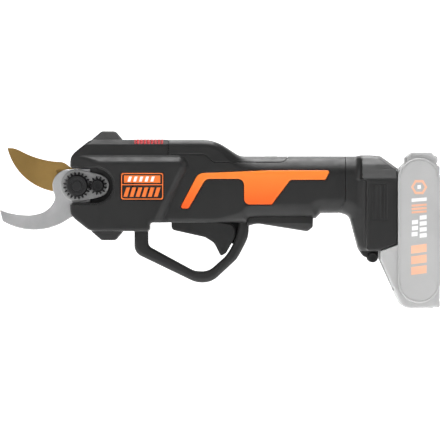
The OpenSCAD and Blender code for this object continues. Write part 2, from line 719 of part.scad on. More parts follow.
module ring_gear() place() color([0.45, 0.45, 0.47]) difference() {
    along(motor_r, gearbox_x, motor_x);
    x_gear(gear_points(planet_m, ring_z, 1.25 * planet_m, 0.8 * planet_m, 0.08), gearbox_x + 2.8, motor_x + 1, ring_turn);
    along(8.6, gearbox_x - 1, gearbox_x + 3);
    for (y = [-1, 1], z = [-1, 1]) translate([gearbox_x - 1, drive_y + y * 6.5, z * 12]) rotate([0, 90, 0]) {
        cylinder(r = 1.25, h = 3);
        translate([0, 0, 2.6]) cylinder(r = 2.1, h = 2);
    }
}

module planet_pins(x0, x1) for (k = [0:2])
    translate([x0, drive_y + orbit_r * cos(120 * k), orbit_r * sin(120 * k)]) rotate([0, 90, 0]) cylinder(r = 1.5, h = x1 - x0);

module output_carrier() place() color([0.5, 0.5, 0.5]) {
    difference() {
        union() {
            along(12.6, 47.3, 48.2);
            along(5, 45.7, 47.4);
        }
        along(1, 40, 60);
    }
    planet_pins(48.1, 53.9);
}

module input_carrier() place() color([0.5, 0.5, 0.5]) {
    along(12.6, 54.6, 57.8);
    x_gear(gear_points(planet_m, sun_z, 0.85 * planet_m, 1.2 * planet_m, -0.05), 48.6, 54.7, 0);
    planet_pins(57.7, 63.7);
}

module planet(stage, k) color([0.7, 0.68, 0.6])
    translate([0, orbit_r * cos(120 * k), orbit_r * sin(120 * k)]) difference() {
        x_gear(gear_points(planet_m, planet_z, 0.85 * planet_m, 1.2 * planet_m, -0.05), stage_x[stage], stage_x[stage] + planet_t, planet_turn);
        along(1.53, stage_x[stage] - 1, stage_x[stage] + planet_t + 1);
    }

module output_planet_1() place() planet(0, 0);

module output_planet_2() place() planet(0, 1);

module output_planet_3() place() planet(0, 2);

module input_planet_1() place() planet(1, 0);

module input_planet_2() place() planet(1, 1);

module input_planet_3() place() planet(1, 2);

// ---------- motor ----------

module motor_rotor() place() color([0.4, 0.4, 0.45]) {
    x_gear(gear_points(planet_m, sun_z, 0.85 * planet_m, 1.2 * planet_m, -0.05), 58.4, 63.9, 0);
    along(2, 63.8, motor_x + motor_len - 1);
    along(8.4, motor_x + 7, motor_x + 33);
}

module motor_stator() place() color([0.75, 0.42, 0.2]) difference() {
    union() {
        difference() {
            along(15.6, motor_x + 7.5, motor_x + 32.5);
            along(13.4, motor_x + 7, motor_x + 33);
        }
        for (k = [0:5]) translate([0, drive_y, 0]) rotate([60 * k, 0, 0]) {
            box([motor_x + 8, -2, 8.2], [motor_x + 32, 2, 14]);
            box([motor_x + 6, -3.2, 10.2], [motor_x + 34, 3.2, 12.4]);
        }
    }
    along(8.8, motor_x, motor_x + 40);
}

module motor_can() place() color([0.3, 0.3, 0.32]) difference() {
    along(motor_r, motor_x + 3, motor_x + motor_len - 4);
    along(15.65, motor_x, motor_x + motor_len);
    for (k = [0:5]) translate([0, drive_y, 0]) rotate([60 * k + 30, 0, 0]) box([motor_x + 12, -1.5, 10], [motor_x + 28, 1.5, 20]);
}

module motor_end_plates() place() color([0.55, 0.55, 0.57]) difference() {
    union() {
        along(motor_r, motor_x + 0.05, motor_x + 2.95);
        along(motor_r, motor_x + motor_len - 3.95, motor_x + motor_len);
        along(6, motor_x + 2.9, motor_x + 5.5);
    }
    along(2.05, motor_x - 1, motor_x + motor_len + 1);
}

// ---------- electronics ----------

module controller_board() place() color([0.1, 0.35, 0.2]) box([130, -14.5, -5], [192, 14.5, -3.4]);

module controller_parts() place() color([0.15, 0.15, 0.17]) {
    for (k = [0:2]) for (y = [-9.5, 3.5]) box([134 + 8 * k, y, -3.4], [139 + 8 * k, y + 6, -0.9]);
    for (k = [0:1]) translate([166, -7 + 13 * k, 1.7]) rotate([0, 90, 0]) cylinder(r = 5, h = 20);
    box([132, -12, -8], [158, 12, -5]);
    box([160, -3.5, -6.4], [167, 3.5, -5]);
    // Switch that the power button presses
    box([button_x - 2, -2, -3.4], [button_x + 2, 2, 17.6]);
}

module motor_leads() place() color([0.8, 0.1, 0.1]) for (k = [-1:1]) {
    start = motor_x + motor_len + 0.1;
    tube([
        [start, drive_y + 7 * k, 8], [start + 5, drive_y + 7 * k, 8], [start + 11, 6 * k + 1, 4],
        [start + 18, 5 * k, -0.5], [132.2, 5 * k, -2.2], [133.6, 5 * k, -2.3]
    ], 0.9);
}

module battery_leads() place() color([0.75, 0.1, 0.1]) for (s = [-1, 1]) tube([
    [189, 8 * s, -2], [193, 8 * s, -1.2], [200, 7 * s, 0], [210, 5 * s, -4], [219, 5 * s, -8], [227.4, 5 * s, -8]
], 1.2);

module power_button() place() color([0.35, 0.35, 0.35]) {
    translate([button_x, 0, 20]) cylinder(r = 5.2, h = 3);
    translate([button_x, 0, 18.6]) cylinder(r = 6.4, h = 1.5);
}

module indicator_lens() place() color([0.5, 0.9, 0.5]) for (k = [0:2]) box([lens_x, -4 + 3 * k, 20.4], [lens_x + 1.8, -2 + 3 * k, 22.8]);

module trigger() place() color([0.2, 0.2, 0.2]) difference() {
    slab(rounded(trigger_side), -trigger_half_w, trigger_half_w);
    across(trigger_pivot, 1.55, -20, 20);
    translate([96, 0, -30.5]) cylinder(r = 3.4, h = 20);
    box([84.5, -2.5, -30], [92, 2.5, -10]);
}

module trigger_pin() place() color([0.7, 0.7, 0.72]) across(trigger_pivot, 1.5, -13.9, 13.9);

module trigger_spring() place() color([0.75, 0.75, 0.78]) translate([96, 0, -30.4]) coil(2.6, 0.35, 10.6, 5);

module trigger_sensor() place() color([0.1, 0.3, 0.2]) {
    box([83, -9, -19.4], [101, 9, -18.2]);
    box([85.8, -1.6, -20.6], [89.2, 1.6, -19.4]);
}

// ---------- battery pack ----------

function stadium(r, low, high) = concat(
    [for (i = [0:16]) [pack_x + pack_depth / 2 + r * cos(i * 11.25), high + r * sin(i * 11.25)]],
    [for (i = [16:32]) [pack_x + pack_depth / 2 + r * cos(i * 11.25), low + r * sin(i * 11.25)]]);

module pack_mass(t) {
    w = pack_body_half_w - t;
    slab(shrunk(pack_low, t), -w, w);
    slab(stadium(pack_depth / 2 - 0.6 - t, -74, 4.2), -w, w);
    if (t == 0) slab(rounded(pack_cap), -w + 6, w - 6);
}

module pack_rails() {
    box([237, -rail_half_w, -44], [243.1, rail_half_w, 12]);
    box([243, -neck_half_w, -44], [pack_x + 1.2, neck_half_w, 12]);
}

module pack_front_shell() place() color([0.72, 0.72, 0.72]) difference() {
    union() {
        intersection() {
            pack_mass(0);
            box([220, -60, -100], [258, 60, 40]);
        }
        pack_rails();
    }
    intersection() {
        pack_mass(pack_wall);
        box([250, -60, -100], [259, 60, 40]);
    }
    for (y = [-15, -5, 5, 15]) {
        box([236, y - 1, -24], [248, y + 1, 13]);
        box([247.9, y - 2.1, -20.1], [251, y + 2.1, -3.9]);
    }
    // Room for the release button
    slab([[232, -58], [238, -44], [243.6, -44], [243.6, -58], [251.5, -77.6], [243, -82.5]], -15.4, 15.4);
    pack_bosses(1.3, 240, 260);
}

module pack_rear_shell() place() color([0.72, 0.72, 0.72]) difference() {
    intersection() {
        pack_mass(0);
        box([258, -60, -100], [300, 60, 40]);
    }
    difference() {
        intersection() {
            pack_mass(pack_wall);
            box([257, -60, -100], [300, 60, 40]);
        }
        pack_bosses(3, 255, 290);
    }
    pack_bosses(1.4, 250, 290);
    pack_bosses(2.8, 276, 290);
}

module pack_bosses(r, x0, x1) for (y = [-22, 22], z = [-89.5, 14.5])
    translate([x0, y, z]) rotate([0, 90, 0]) cylinder(r = r, h = x1 - x0);

module pack_screws() place() color([0.4, 0.4, 0.42]) for (y = [-22, 22], z = [-89.5, 14.5]) translate([0, y, z]) rotate([0, 90, 0]) {
    translate([0, 0, 252]) cylinder(r = 1.25, h = 24.1);
    translate([0, 0, 276.05]) cylinder(r = 2.5, h = 2);
}

module pack_side_panels() place() color([0.76, 0.76, 0.76]) for (s = [-1, 1])
    slab(stadium(pack_depth / 2, -74, 4.8), s < 0 ? -pack_half_w : pack_body_half_w, s < 0 ? -pack_body_half_w : pack_half_w);

module pack_cells() place() color([0.2, 0.45, 0.7]) for (k = [0:4])
    across([cell_x, cell_low_z + cell_pitch * k], cell_r, -cell_len / 2, cell_len / 2);

module pack_board() place() color([0.1, 0.35, 0.2]) {
    box([252, -27, -70], [253.6, 27, 4]);
    for (y = [-15, -5, 5, 15]) box([248.3, y - 2, -20], [252, y + 2, -4]);
}

module pack_release() place() color([0.35, 0.35, 0.35]) {
    slab([[235.1, -59.6], [237.1, -55], [241, -55], [241, -61], [249, -78.2], [244.2, -79]], -15, 15);
    box([237.2, -10, -55.2], [240, 10, -47.6]);
}

// ---------- what is drawn ----------

left_shell();
right_shell();
left_foot_shell();
right_foot_shell();
top_cover();
lower_grip();
left_trim();
right_trim();
left_nameplate();
right_nameplate();
top_badge();
front_bumpers();
power_button();
indicator_lens();
lanyard_pin();
housing_screws();
foot_screws();
fixed_blade();
moving_blade();
pivot_bolt();
pivot_nut();
lock_plate();
adjuster_gear();
adjuster_screw();
bevel_sector();
sector_rivets();
gear_head();
gear_head_screws();
bevel_pinion();
pinion_bearings();
ring_gear();
output_carrier();
output_planet_1();
output_planet_2();
output_planet_3();
input_carrier();
input_planet_1();
input_planet_2();
input_planet_3();
motor_rotor();
motor_stator();
motor_can();
motor_end_plates();
controller_board();
controller_parts();
motor_leads();
battery_leads();
trigger();
trigger_pin();
trigger_spring();
trigger_sensor();
terminal_block();
terminal_blades();
pack_front_shell();
pack_rear_shell();
pack_side_panels();
pack_cells();
pack_board();
pack_release();
pack_screws();
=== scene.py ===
"""Looks of the battery electric pruner: moulded pieces, blades, battery, finishes, camera and light."""
import json
import math

import bpy
import numpy as np
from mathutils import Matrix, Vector


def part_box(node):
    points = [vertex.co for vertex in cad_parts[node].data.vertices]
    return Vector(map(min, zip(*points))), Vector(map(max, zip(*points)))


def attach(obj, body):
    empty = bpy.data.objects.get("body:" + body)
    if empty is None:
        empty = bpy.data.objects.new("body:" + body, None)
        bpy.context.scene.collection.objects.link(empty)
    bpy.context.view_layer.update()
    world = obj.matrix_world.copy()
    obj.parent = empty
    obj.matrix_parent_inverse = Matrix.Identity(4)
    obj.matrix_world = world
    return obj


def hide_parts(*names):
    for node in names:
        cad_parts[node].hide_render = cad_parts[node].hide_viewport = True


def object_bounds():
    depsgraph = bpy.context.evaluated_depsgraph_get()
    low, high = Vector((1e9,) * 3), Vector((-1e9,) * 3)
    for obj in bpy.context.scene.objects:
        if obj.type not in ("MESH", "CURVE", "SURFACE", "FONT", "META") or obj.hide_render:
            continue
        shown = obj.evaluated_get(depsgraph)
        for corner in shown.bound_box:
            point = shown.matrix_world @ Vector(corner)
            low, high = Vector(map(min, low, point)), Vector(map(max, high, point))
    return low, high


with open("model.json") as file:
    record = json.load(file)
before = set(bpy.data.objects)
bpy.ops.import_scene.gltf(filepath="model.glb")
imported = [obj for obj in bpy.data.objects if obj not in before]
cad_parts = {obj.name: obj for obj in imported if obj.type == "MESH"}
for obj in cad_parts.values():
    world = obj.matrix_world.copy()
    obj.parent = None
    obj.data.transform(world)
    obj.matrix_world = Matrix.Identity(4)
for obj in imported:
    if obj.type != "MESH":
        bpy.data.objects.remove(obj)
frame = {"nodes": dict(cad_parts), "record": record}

CAD_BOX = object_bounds()
RECORD = frame["record"]
MM = 0.001
JOINTS = {j["name"]: j for j in RECORD["behaviour"]["joints"]}
BODY_OF = {n: body for body, nodes in RECORD["behaviour"]["bodies"].items() for n in nodes}
SLOT_OF = {s["node"]: s["material_slot"] for s in RECORD["subparts"]}
# Shapes below are in millimetres from the blades' pivot: X back along the tool, Y across it, Z up
PIVOT = np.array(JOINTS["blade_swing"]["pos_m"])
CENTRE = (0, 0)
SIDES = ((-1, "left"), (1, "right"))
# Half widths over the side panels, the core, the handle and foot, and the battery's case and side panels
PANEL_HALF, CORE_HALF, HANDLE_HALF, PACK_HALF, CAPSULE_HALF = 30, 24, 21, 36, 40


def low_high(node):
    """A CAD node's lowest and highest corner, in millimetres from the pivot."""
    low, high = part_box(node)
    return (np.array(low) - PIVOT) / MM, (np.array(high) - PIVOT) / MM


# ---------- outlines ----------

CORNER_STEP = math.radians(9)


def swept(mid, r, p, q, n=0):
    """Points of the short arc about mid from p to q, in n parts or else in parts of CORNER_STEP."""
    start = math.atan2(p[1] - mid[1], p[0] - mid[0])
    sweep = (math.atan2(q[1] - mid[1], q[0] - mid[0]) - start + 3 * math.pi) % (2 * math.pi) - math.pi
    n = n or max(2, math.ceil(abs(sweep) / CORNER_STEP))
    return [mid + r * np.array([math.cos(start + sweep * i / n), math.sin(start + sweep * i / n)])
            for i in range(n + 1)]


def corner(a, b, c, r):
    """Points of the rounded corner b between its neighbours a and c."""
    a, b, c = (np.array(p[:2], float) for p in (a, b, c))
    u = (a - b) / np.linalg.norm(a - b)
    v = (c - b) / np.linalg.norm(c - b)
    half = math.acos(max(-1, min(1, float(u @ v)))) / 2
    cut = r / math.tan(half)
    mid = b + (u + v) / np.linalg.norm(u + v) * r / math.sin(half)
    return swept(mid, r, b + u * cut, b + v * cut)


def rounded(rows):
    """Plain points of an outline whose rows are (x, z) or (x, z, corner radius)."""
    points = []
    for i, row in enumerate(rows):
        if len(row) > 2 and row[2] > 0:
            points += corner(rows[i - 1], row, rows[(i + 1) % len(rows)], row[2])
        else:
            points.append(np.array(row[:2], float))
    return np.array(points)


def circle_of(a, b, c):
    """Centre and radius of the circle through three points."""
    points = np.array([a, b, c], float)
    matrix = np.column_stack([2 * points, np.ones(3)])
    x, z, k = np.linalg.solve(matrix, (points ** 2).sum(1))
    return np.array([x, z]), math.sqrt(k + x * x + z * z)


def arc(a, b, c, n):
    """n + 1 points of the arc from a through b to c."""
    return swept(*circle_of(a, b, c), a, c, n)


def mirrored(rows):
    """The rows of one half of an outline, then the same rows on the other side of its first axis."""
    return rows + [(-row[0], *row[1:]) for row in rows[::-1]]


def rectangle(x0, z0, x1, z1, r):
    return [(x0, z0, r), (x1, z0, r), (x1, z1, r), (x0, z1, r)]


class Outline:
    """Signed distance to a closed outline, negative inside, kept as a table for quick reading."""

    def __init__(self, rows, step=0.4, margin=9):
        points = rounded(rows)
        self.step = step
        self.low = points.min(0) - margin
        self.size = np.ceil((points.max(0) + margin - self.low) / step).astype(int) + 1
        a = (self.low[0] + step * np.arange(self.size[0]))[:, None]
        b = (self.low[1] + step * np.arange(self.size[1]))[None, :]
        nearest = np.full(tuple(self.size), 1e9)
        inside = np.zeros(tuple(self.size), bool)
        for p, q in zip(points, np.roll(points, -1, 0)):
            e = q - p
            length = float(e @ e)
            if length < 1e-12:
                continue
            t = np.clip(((a - p[0]) * e[0] + (b - p[1]) * e[1]) / length, 0, 1)
            nearest = np.minimum(nearest, (a - p[0] - t * e[0]) ** 2 + (b - p[1] - t * e[1]) ** 2)
            if p[1] != q[1]:
                crossed = (p[1] > b) != (q[1] > b)
                inside ^= crossed & (a < p[0] + (b - p[1]) * e[0] / e[1])
        self.table = (np.sqrt(nearest) * np.where(inside, -1, 1)).astype(np.float32)

    def __call__(self, a, b):
        u = np.clip((a - self.low[0]) / self.step, 0, self.size[0] - 1.001)
        v = np.clip((b - self.low[1]) / self.step, 0, self.size[1] - 1.001)
        i, j = u.astype(np.int32), v.astype(np.int32)
        u, v = u - i, v - j
        t = self.table
        near = t[i, j] * (1 - u) + t[i + 1, j] * u
        far = t[i, j + 1] * (1 - u) + t[i + 1, j + 1] * u
        return near * (1 - v) + far * v


# ---------- solid shapes as distance fields ----------

def rolled(a, b, r):
    """Where two shapes overlap, with an edge rounded to radius r, which may be an array."""
    u, v = np.maximum(a + r, 0), np.maximum(b + r, 0)
    return np.minimum(-r, np.maximum(a, b)) + np.sqrt(u * u + v * v)


def both(a, b, r=0):
    """Where two shapes overlap, with the edge between them rounded if asked."""
    return rolled(a, b, r) if r > 0 else np.maximum(a, b)


def either(a, b, r=0):
    """Two shapes joined, with a fillet of radius r."""
    return np.minimum(a, b) if r <= 0 else -both(-a, -b, r)


def less(a, b, r=0):
    """The first shape without the second."""
    return both(a, -b, r)


def bevelled(a, b, c):
    """Where two shapes overlap, with the edge between them cut back by c."""
    return np.maximum(np.maximum(a, b), (a + b + c) * math.sqrt(0.5))


def between(v, low, high):
    """Distance to the slab between two values."""
    return np.abs(v - (low + high) / 2) - (high - low) / 2


def block(x, y, z, low, high, r=0):
    """Distance to a box between two corners, with its edges rounded if asked."""
    flat = both(between(x, low[0], high[0]), between(y, low[1], high[1]), r)
    return both(flat, between(z, low[2], high[2]), r)


def disc(a, b, at, r):
    """Distance to a round bar that runs along the third direction."""
    return np.hypot(a - at[0], b - at[1]) - r


# ---------- meshes ----------

SLOPE_REACH = 0.04
HOLD = 0.04


def crossings(f, axes, step, stride):
    """Where the grid's edges cross the surface, the four cells round each, and which way it crosses."""
    points, quads, turned = [], [], []
    for k in range(3):
        head, tail = [slice(None)] * 3, [slice(None)] * 3
        head[k], tail[k] = slice(None, -1), slice(1, None)
        f0, f1 = f[tuple(head)], f[tuple(tail)]
        at = np.argwhere((f0 < 0) != (f1 < 0))
        v0, v1 = f0[tuple(at.T)], f1[tuple(at.T)]
        p = np.stack([axes[m][at[:, m]] for m in range(3)], 1)
        p[:, k] += step * v0 / (v0 - v1)
        m, n = (k + 1) % 3, (k + 2) % 3
        base = at @ stride
        points.append(p)
        quads.append(np.stack([base - stride[m] - stride[n], base - stride[n], base, base - stride[m]], 1))
        turned.append(v0 > 0)
    return np.concatenate(points), np.concatenate(quads), np.concatenate(turned)


def slopes(field, points):
    """The direction in which a field rises most at each point."""
    slope = []
    for k in range(3):
        d = np.zeros(3)
        d[k] = SLOPE_REACH
        slope.append(field(*(points + d).T) - field(*(points - d).T))
    normal = np.stack(slope, 1)
    return normal / (np.linalg.norm(normal, axis=1, keepdims=True) + 1e-12)


def fitted(points, normal, index, count):
    """A vertex for each cell, close to the planes through its crossings. HOLD draws it to their middle."""
    cells = index.ravel()
    repeat = np.repeat(np.arange(len(points)), 4)
    p, n = points[repeat], normal[repeat]

    def total(w):
        return np.bincount(cells, w, count)

    number = total(np.ones(len(cells)))
    middle = np.stack([total(p[:, k]) for k in range(3)], 1) / number[:, None]
    reach = np.einsum("ij,ij->i", n, p - middle[cells])
    matrix = np.empty((count, 3, 3))
    for a in range(3):
        for b in range(3):
            matrix[:, a, b] = total(n[:, a] * n[:, b])
        matrix[:, a, a] += HOLD * number
    right = np.stack([total(n[:, k] * reach) for k in range(3)], 1)
    return middle + np.linalg.solve(matrix, right[:, :, None])[:, :, 0]


def surface(field, low, high, step):
    """Vertices and faces of a field's surface, with its sharp edges kept (dual contouring)."""
    low, high = np.array(low, float) - 1.6 * step, np.array(high, float) + 1.6 * step
    axes = [low[k] + step * np.arange(int((high[k] - low[k]) / step) + 2) for k in range(3)]
    size = np.array([len(a) for a in axes])
    stride = np.array([size[1] * size[2], size[2], 1])
    f = field(axes[0][:, None, None], axes[1][None, :, None], axes[2][None, None, :])
    f = np.broadcast_to(f, tuple(size)).astype(np.float32)
    points, quads, turned = crossings(f, axes, step, stride)
    names, index = np.unique(quads, return_inverse=True)
    index = index.reshape(quads.shape)
    vertices = fitted(points, slopes(field, points), index, len(names))
    cell = np.stack([names // stride[0], names // stride[1] % size[1], names % size[2]], 1)
    cell_low = np.stack([axes[k][cell[:, k]] for k in range(3)], 1)
    vertices = np.clip(vertices, cell_low - 0.05 * step, cell_low + 1.05 * step)
    return vertices, np.where(turned[:, None], index[:, ::-1], index)


def fine(step):
    return step


def placed(name, data):
    """A new object in the scene."""
    obj = bpy.data.objects.new(name, data)
    bpy.context.scene.collection.objects.link(obj)
    return obj


def new_mesh(name, vertices, faces, sharp=32):
    """A shaded object from points in millimetres from the pivot. faces is an array or a list."""
    mesh = bpy.data.meshes.new(name)
    points = np.asarray(vertices) * MM + PIVOT
    if isinstance(faces, np.ndarray):
        mesh.vertices.add(len(points))
        mesh.vertices.foreach_set("co", points.ravel())
        mesh.loops.add(faces.size)
        mesh.loops.foreach_set("vertex_index", faces.ravel().astype(np.int32))
        mesh.polygons.add(len(faces))
        mesh.polygons.foreach_set("loop_start", np.arange(0, faces.size, faces.shape[1], dtype=np.int32))
        mesh.update(calc_edges=True)
        mesh.validate()
    else:
        mesh.from_pydata(points.tolist(), [], faces)
    mesh.shade_smooth()
    mesh.set_sharp_from_angle(angle=math.radians(sharp))
    return placed(name, mesh)


def dressed(obj, node, material):
    """The piece gets its finish, and rides on a CAD node's body."""
    obj.data.materials.append(material)
    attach(obj, BODY_OF[node])


def moulded(name, node, field, step, material, below=0, above=0):
    """A piece made from a field in place of a CAD node, whose box it may pass by a margin."""
    low, high = low_high(node)
    obj = new_mesh(name, *surface(field, low - below, high + above, step))
    dressed(obj, node, material)
    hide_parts(node)


# ---------- finishes ----------

PLASTIC_SPECULAR = 0.32


def nodes_of(name):
    """A new material with its node tree, its shader and a texture coordinate."""
    material = bpy.data.materials.new(name)
    material.use_nodes = True
    tree = material.node_tree
    return material, tree, tree.nodes["Principled BSDF"], tree.nodes.new("ShaderNodeTexCoord")


def put(node, **values):
    """Sets a node's inputs. An underscore in a name stands for a space."""
    for socket, value in values.items():
        node.inputs[socket.replace("_", " ")].default_value = value


def noise(tree, where, scale, detail=3, stretch=None):
    """A noise in object space, stretched if asked. scale counts per metre."""
    texture = tree.nodes.new("ShaderNodeTexNoise")
    put(texture, Scale=scale, Detail=detail)
    source = where.outputs["Object"]
    if stretch:
        mapping = tree.nodes.new("ShaderNodeMapping")
        put(mapping, Scale=stretch)
        tree.links.new(source, mapping.inputs["Vector"])
        source = mapping.outputs["Vector"]
    tree.links.new(source, texture.inputs["Vector"])
    return texture.outputs["Fac"]


def along(tree, where, axis, low, high, first=0, last=1):
    """A value that goes from first to last between two places on one of the object's axes."""
    split = tree.nodes.new("ShaderNodeSeparateXYZ")
    tree.links.new(where.outputs["Object"], split.inputs["Vector"])
    span = tree.nodes.new("ShaderNodeMapRange")
    put(span, From_Min=low, From_Max=high, To_Min=first, To_Max=last)
    tree.links.new(split.outputs[axis], span.inputs["Value"])
    return span.outputs["Result"]


def ramp(tree, value, low, high, target, start=0.35, end=0.65):
    """Leads a value to a socket as a range of colours or greys."""
    node = tree.nodes.new("ShaderNodeValToRGB")
    for element, place, colour in zip(node.color_ramp.elements, (start, end), (low, high)):
        element.position = place
        element.color = (*colour, 1)
    tree.links.new(value, node.inputs["Fac"])
    tree.links.new(node.outputs["Color"], target)


def bump(tree, shader, value, strength, depth):
    """Relief of a depth in metres."""
    node = tree.nodes.new("ShaderNodeBump")
    put(node, Strength=strength, Distance=depth)
    tree.links.new(value, node.inputs["Height"])
    tree.links.new(node.outputs["Normal"], shader.inputs["Normal"])


def grey(v):
    return (v, v, v)


def shaded(tree, shader, value, colour, spread):
    """A base colour that varies both ways by a share of itself."""
    low, high = (tuple(min(1, c * factor) for c in colour) for factor in (1 - spread, 1 + spread))
    ramp(tree, value, low, high, shader.inputs["Base Color"])


def plastic(name, colour, rough=0.45, grain=2600, strength=0.25, spread=0.12):
    """Moulded plastic: a fine spark-eroded grain, and a slow change of shade and gloss."""
    material, tree, shader, where = nodes_of(name)
    shaded(tree, shader, noise(tree, where, 28, 4), colour, spread)
    gloss = noise(tree, where, 160, 5)
    ramp(tree, gloss, grey(rough - 0.05), grey(rough + 0.07), shader.inputs["Roughness"])
    bump(tree, shader, noise(tree, where, grain, 2), strength, 0.00006)
    put(shader, Specular_IOR_Level=PLASTIC_SPECULAR)
    return material


def rubber(name, colour, rough=0.62):
    """Soft overmoulding: coarser grain and a dusty sheen."""
    material = plastic(name, colour, rough, 1500, 0.45, 0.15)
    put(material.node_tree.nodes["Principled BSDF"], Sheen_Weight=0.15, Sheen_Roughness=0.5)
    return material


def metal(name, colour, rough=0.32, stretch=(60, 900, 900), strength=0.06, spread=0.1):
    """Ground or turned metal: fine scratches along one direction."""
    material, tree, shader, where = nodes_of(name)
    put(shader, Metallic=1)
    scratches = noise(tree, where, 3, 6, stretch)
    shaded(tree, shader, noise(tree, where, 45, 4), colour, spread)
    ramp(tree, scratches, grey(rough - 0.07), grey(rough + 0.1), shader.inputs["Roughness"])
    bump(tree, shader, scratches, strength, 0.00004)
    return material


def top_lit_orange(name, lower=(0.85, 0.1, 0.008), upper=(0.88, 0.23, 0.032)):
    """Orange plastic with painted light from above: its colour is lighter towards the top of the tool."""
    material, tree, shader, where = nodes_of(name)
    low, high = (float(end[2] * MM + PIVOT[2]) for end in low_high("left_trim"))
    # painted top light: the base colour runs from the lower, darker orange to the lighter upper orange with
    # height
    height = along(tree, where, "Z", low, high)
    ramp(tree, height, lower, upper, shader.inputs["Base Color"], 0, 1)
    gloss = noise(tree, where, 180, 4)
    ramp(tree, gloss, grey(0.34), grey(0.46), shader.inputs["Roughness"])
    bump(tree, shader, noise(tree, where, 2400, 2), 0.15, 0.00005)
    put(shader, Specular_IOR_Level=PLASTIC_SPECULAR)
    return material


BODY = plastic("body_plastic", grey(0.013), 0.42)
COVER_SKIN = plastic("cover_plastic", grey(0.015), 0.36)
FOOT = plastic("foot_plastic", grey(0.016), 0.42)
SOFT = rubber("soft_grip", grey(0.011))
BLACK = plastic("black_plastic", grey(0.008), 0.35)
DARK_PANEL = plastic("dark_panel", grey(0.01), 0.3)
ORANGE = top_lit_orange("orange_plastic")
RED = plastic("red_plastic", (0.42, 0.022, 0.026), 0.4)
PRINT = plastic("orange_print", (0.85, 0.18, 0.03), 0.4)
LENS = plastic("green_lens", (0.25, 0.7, 0.3), 0.12, 900, 0.02)
HOOK_STEEL = metal("ground_steel", (0.47, 0.47, 0.475), 0.38, (700, 700, 90))
GOLD = metal("gold_coating", (0.335, 0.212, 0.072), 0.38, (700, 700, 80))
LOCK = metal("stamped_steel", grey(0.36), 0.42)
OXIDE = metal("black_oxide", (0.045, 0.045, 0.046), 0.38)
PACK = plastic("pack_plastic", grey(0.45), 0.55, 2200, 0.2, 0.05)
PACK_SIDE = plastic("pack_side", grey(0.42), 0.55, 2200, 0.2, 0.05)
PEACH = plastic("peach_print", (0.78, 0.44, 0.3), 0.5)
WHITE = plastic("white_print", grey(0.86), 0.5, 2200, 0.1, 0.03)
LATCH = plastic("latch_plastic", grey(0.2), 0.45)

FINISH = {
    "housing_plastic": BODY, "soft_grip": SOFT, "orange_trim": ORANGE, "nameplate": DARK_PANEL,
    "red_badge": RED, "black_plastic": BLACK, "lens": LENS, "blade_steel": HOOK_STEEL, "gold_blade": GOLD,
    "lock_steel": LOCK, "dark_steel": OXIDE, "pack_plastic": PACK, "pack_panel": PACK_SIDE,
    "release_plastic": LATCH,
    "screw_steel": metal("zinc_screw", (0.4, 0.4, 0.41), 0.3),
    "gear_steel": metal("hardened_steel", (0.45, 0.45, 0.47), 0.3),
    "cast_aluminium": metal("cast_aluminium", (0.42, 0.425, 0.44), 0.5, (500, 500, 500), 0.25),
    "ring_steel": metal("turned_steel", (0.33, 0.33, 0.35), 0.35),
    "bronze": metal("sintered_bronze", (0.55, 0.38, 0.18), 0.45, (600, 600, 600), 0.2),
    "copper": metal("enamelled_copper", (0.7, 0.28, 0.09), 0.3, (900, 60, 60), 0.4),
    "board_green": plastic("solder_mask", (0.02, 0.16, 0.06), 0.3, 700, 0.1),
    "wire_red": plastic("red_insulation", (0.5, 0.02, 0.02), 0.4),
    "spring_steel": metal("spring_wire", (0.6, 0.6, 0.62), 0.22),
    "contact_metal": metal("contact_plating", (0.75, 0.6, 0.3), 0.3),
    "cell_wrap": plastic("cell_wrap", (0.04, 0.17, 0.42), 0.28),
}


def finish_cad_nodes():
    """The CAD nodes that stay get the finish of their slot."""
    for node, obj in frame["nodes"].items():
        finish, slots = FINISH[SLOT_OF[node]], obj.data.materials
        if not slots:
            slots.append(finish)
        for i in range(len(slots)):
            slots[i] = finish


# ---------- outlines of the tool, as (x, z) rows with an optional corner radius ----------

WALL = 2.4
CORE_END = 70.55
PACK_SPLIT = 258
RIB_PITCH = 2.7
NUT_TEETH, ADJUSTER_TEETH = 20, 13
BLADE_BORE = 4.05
GUARD_HALF = 8
SPLIT = 0.04  # half the gap between two shells
HOOK_Y = low_high("fixed_blade")[0][1]
TRIGGER_PIVOT = tuple(((np.array(JOINTS["trigger_pull"]["pos_m"]) - PIVOT) / MM)[[0, 2]])
TRIGGER_REACH = 49.3
ADJUSTER_X = float((JOINTS["adjuster_turn"]["pos_m"][0] - PIVOT[0]) / MM)
SCREWS = [(44, 27.5), (48, -29.5), (104, 26), (131, -20.5), (176, 17.2), (199.6, 14.4), (197, -15.5)]
FOOT_SCREWS = [(213, 14), (214, -15)]

FRONT_SIDE = Outline([
    (-5.4, -22.2, 12), (41, -60), (56.2, -60), (56.2, -28.4, 2.5), (95, -28.4), (95, 60),
    (41.4, 60), (-5.4, 22.8, 12)])
CORE_SECTION = Outline(mirrored([(-21.4, 35.5, 0.8), (-24, 31.6, 0.8), (-24, -31, 2), (-20, -35, 1)]))
BLOCK_SIDE = Outline([(-40, 23.9), (-40, -42), (59.3, -42), (92.1, 23.9, 9)])
FRONT_PLAN = Outline([(-5.4, -22, 3), (17, -30, 4), (110, -30), (110, 30), (17, 30, 4), (-5.4, 22, 3)])
REAR_SIDE = Outline([
    (40, -28.4), (131, -28.4, 1), (133.5, -25.2, 1), (184.6, -25.2, 1), (188.5, -21.1, 3),
    (240, -21.1), (240, 22.8), (126, 22.8, 12), (106.5, 35.4, 30), (40, 35.4)])
REAR_END = Outline([
    (40, -60), (198.2, -60), (198.2, -28), (202.5, -20.4), (207.5, -11.2, 2), (207.5, 60), (40, 60)])
GUARD_OUTER = Outline([
    (44.3, -30), (44.3, -52, 9), (92, -75, 19), (104, -75, 16), (124, -56.5, 20), (132.6, -40, 20),
    (133.3, -25.4)])
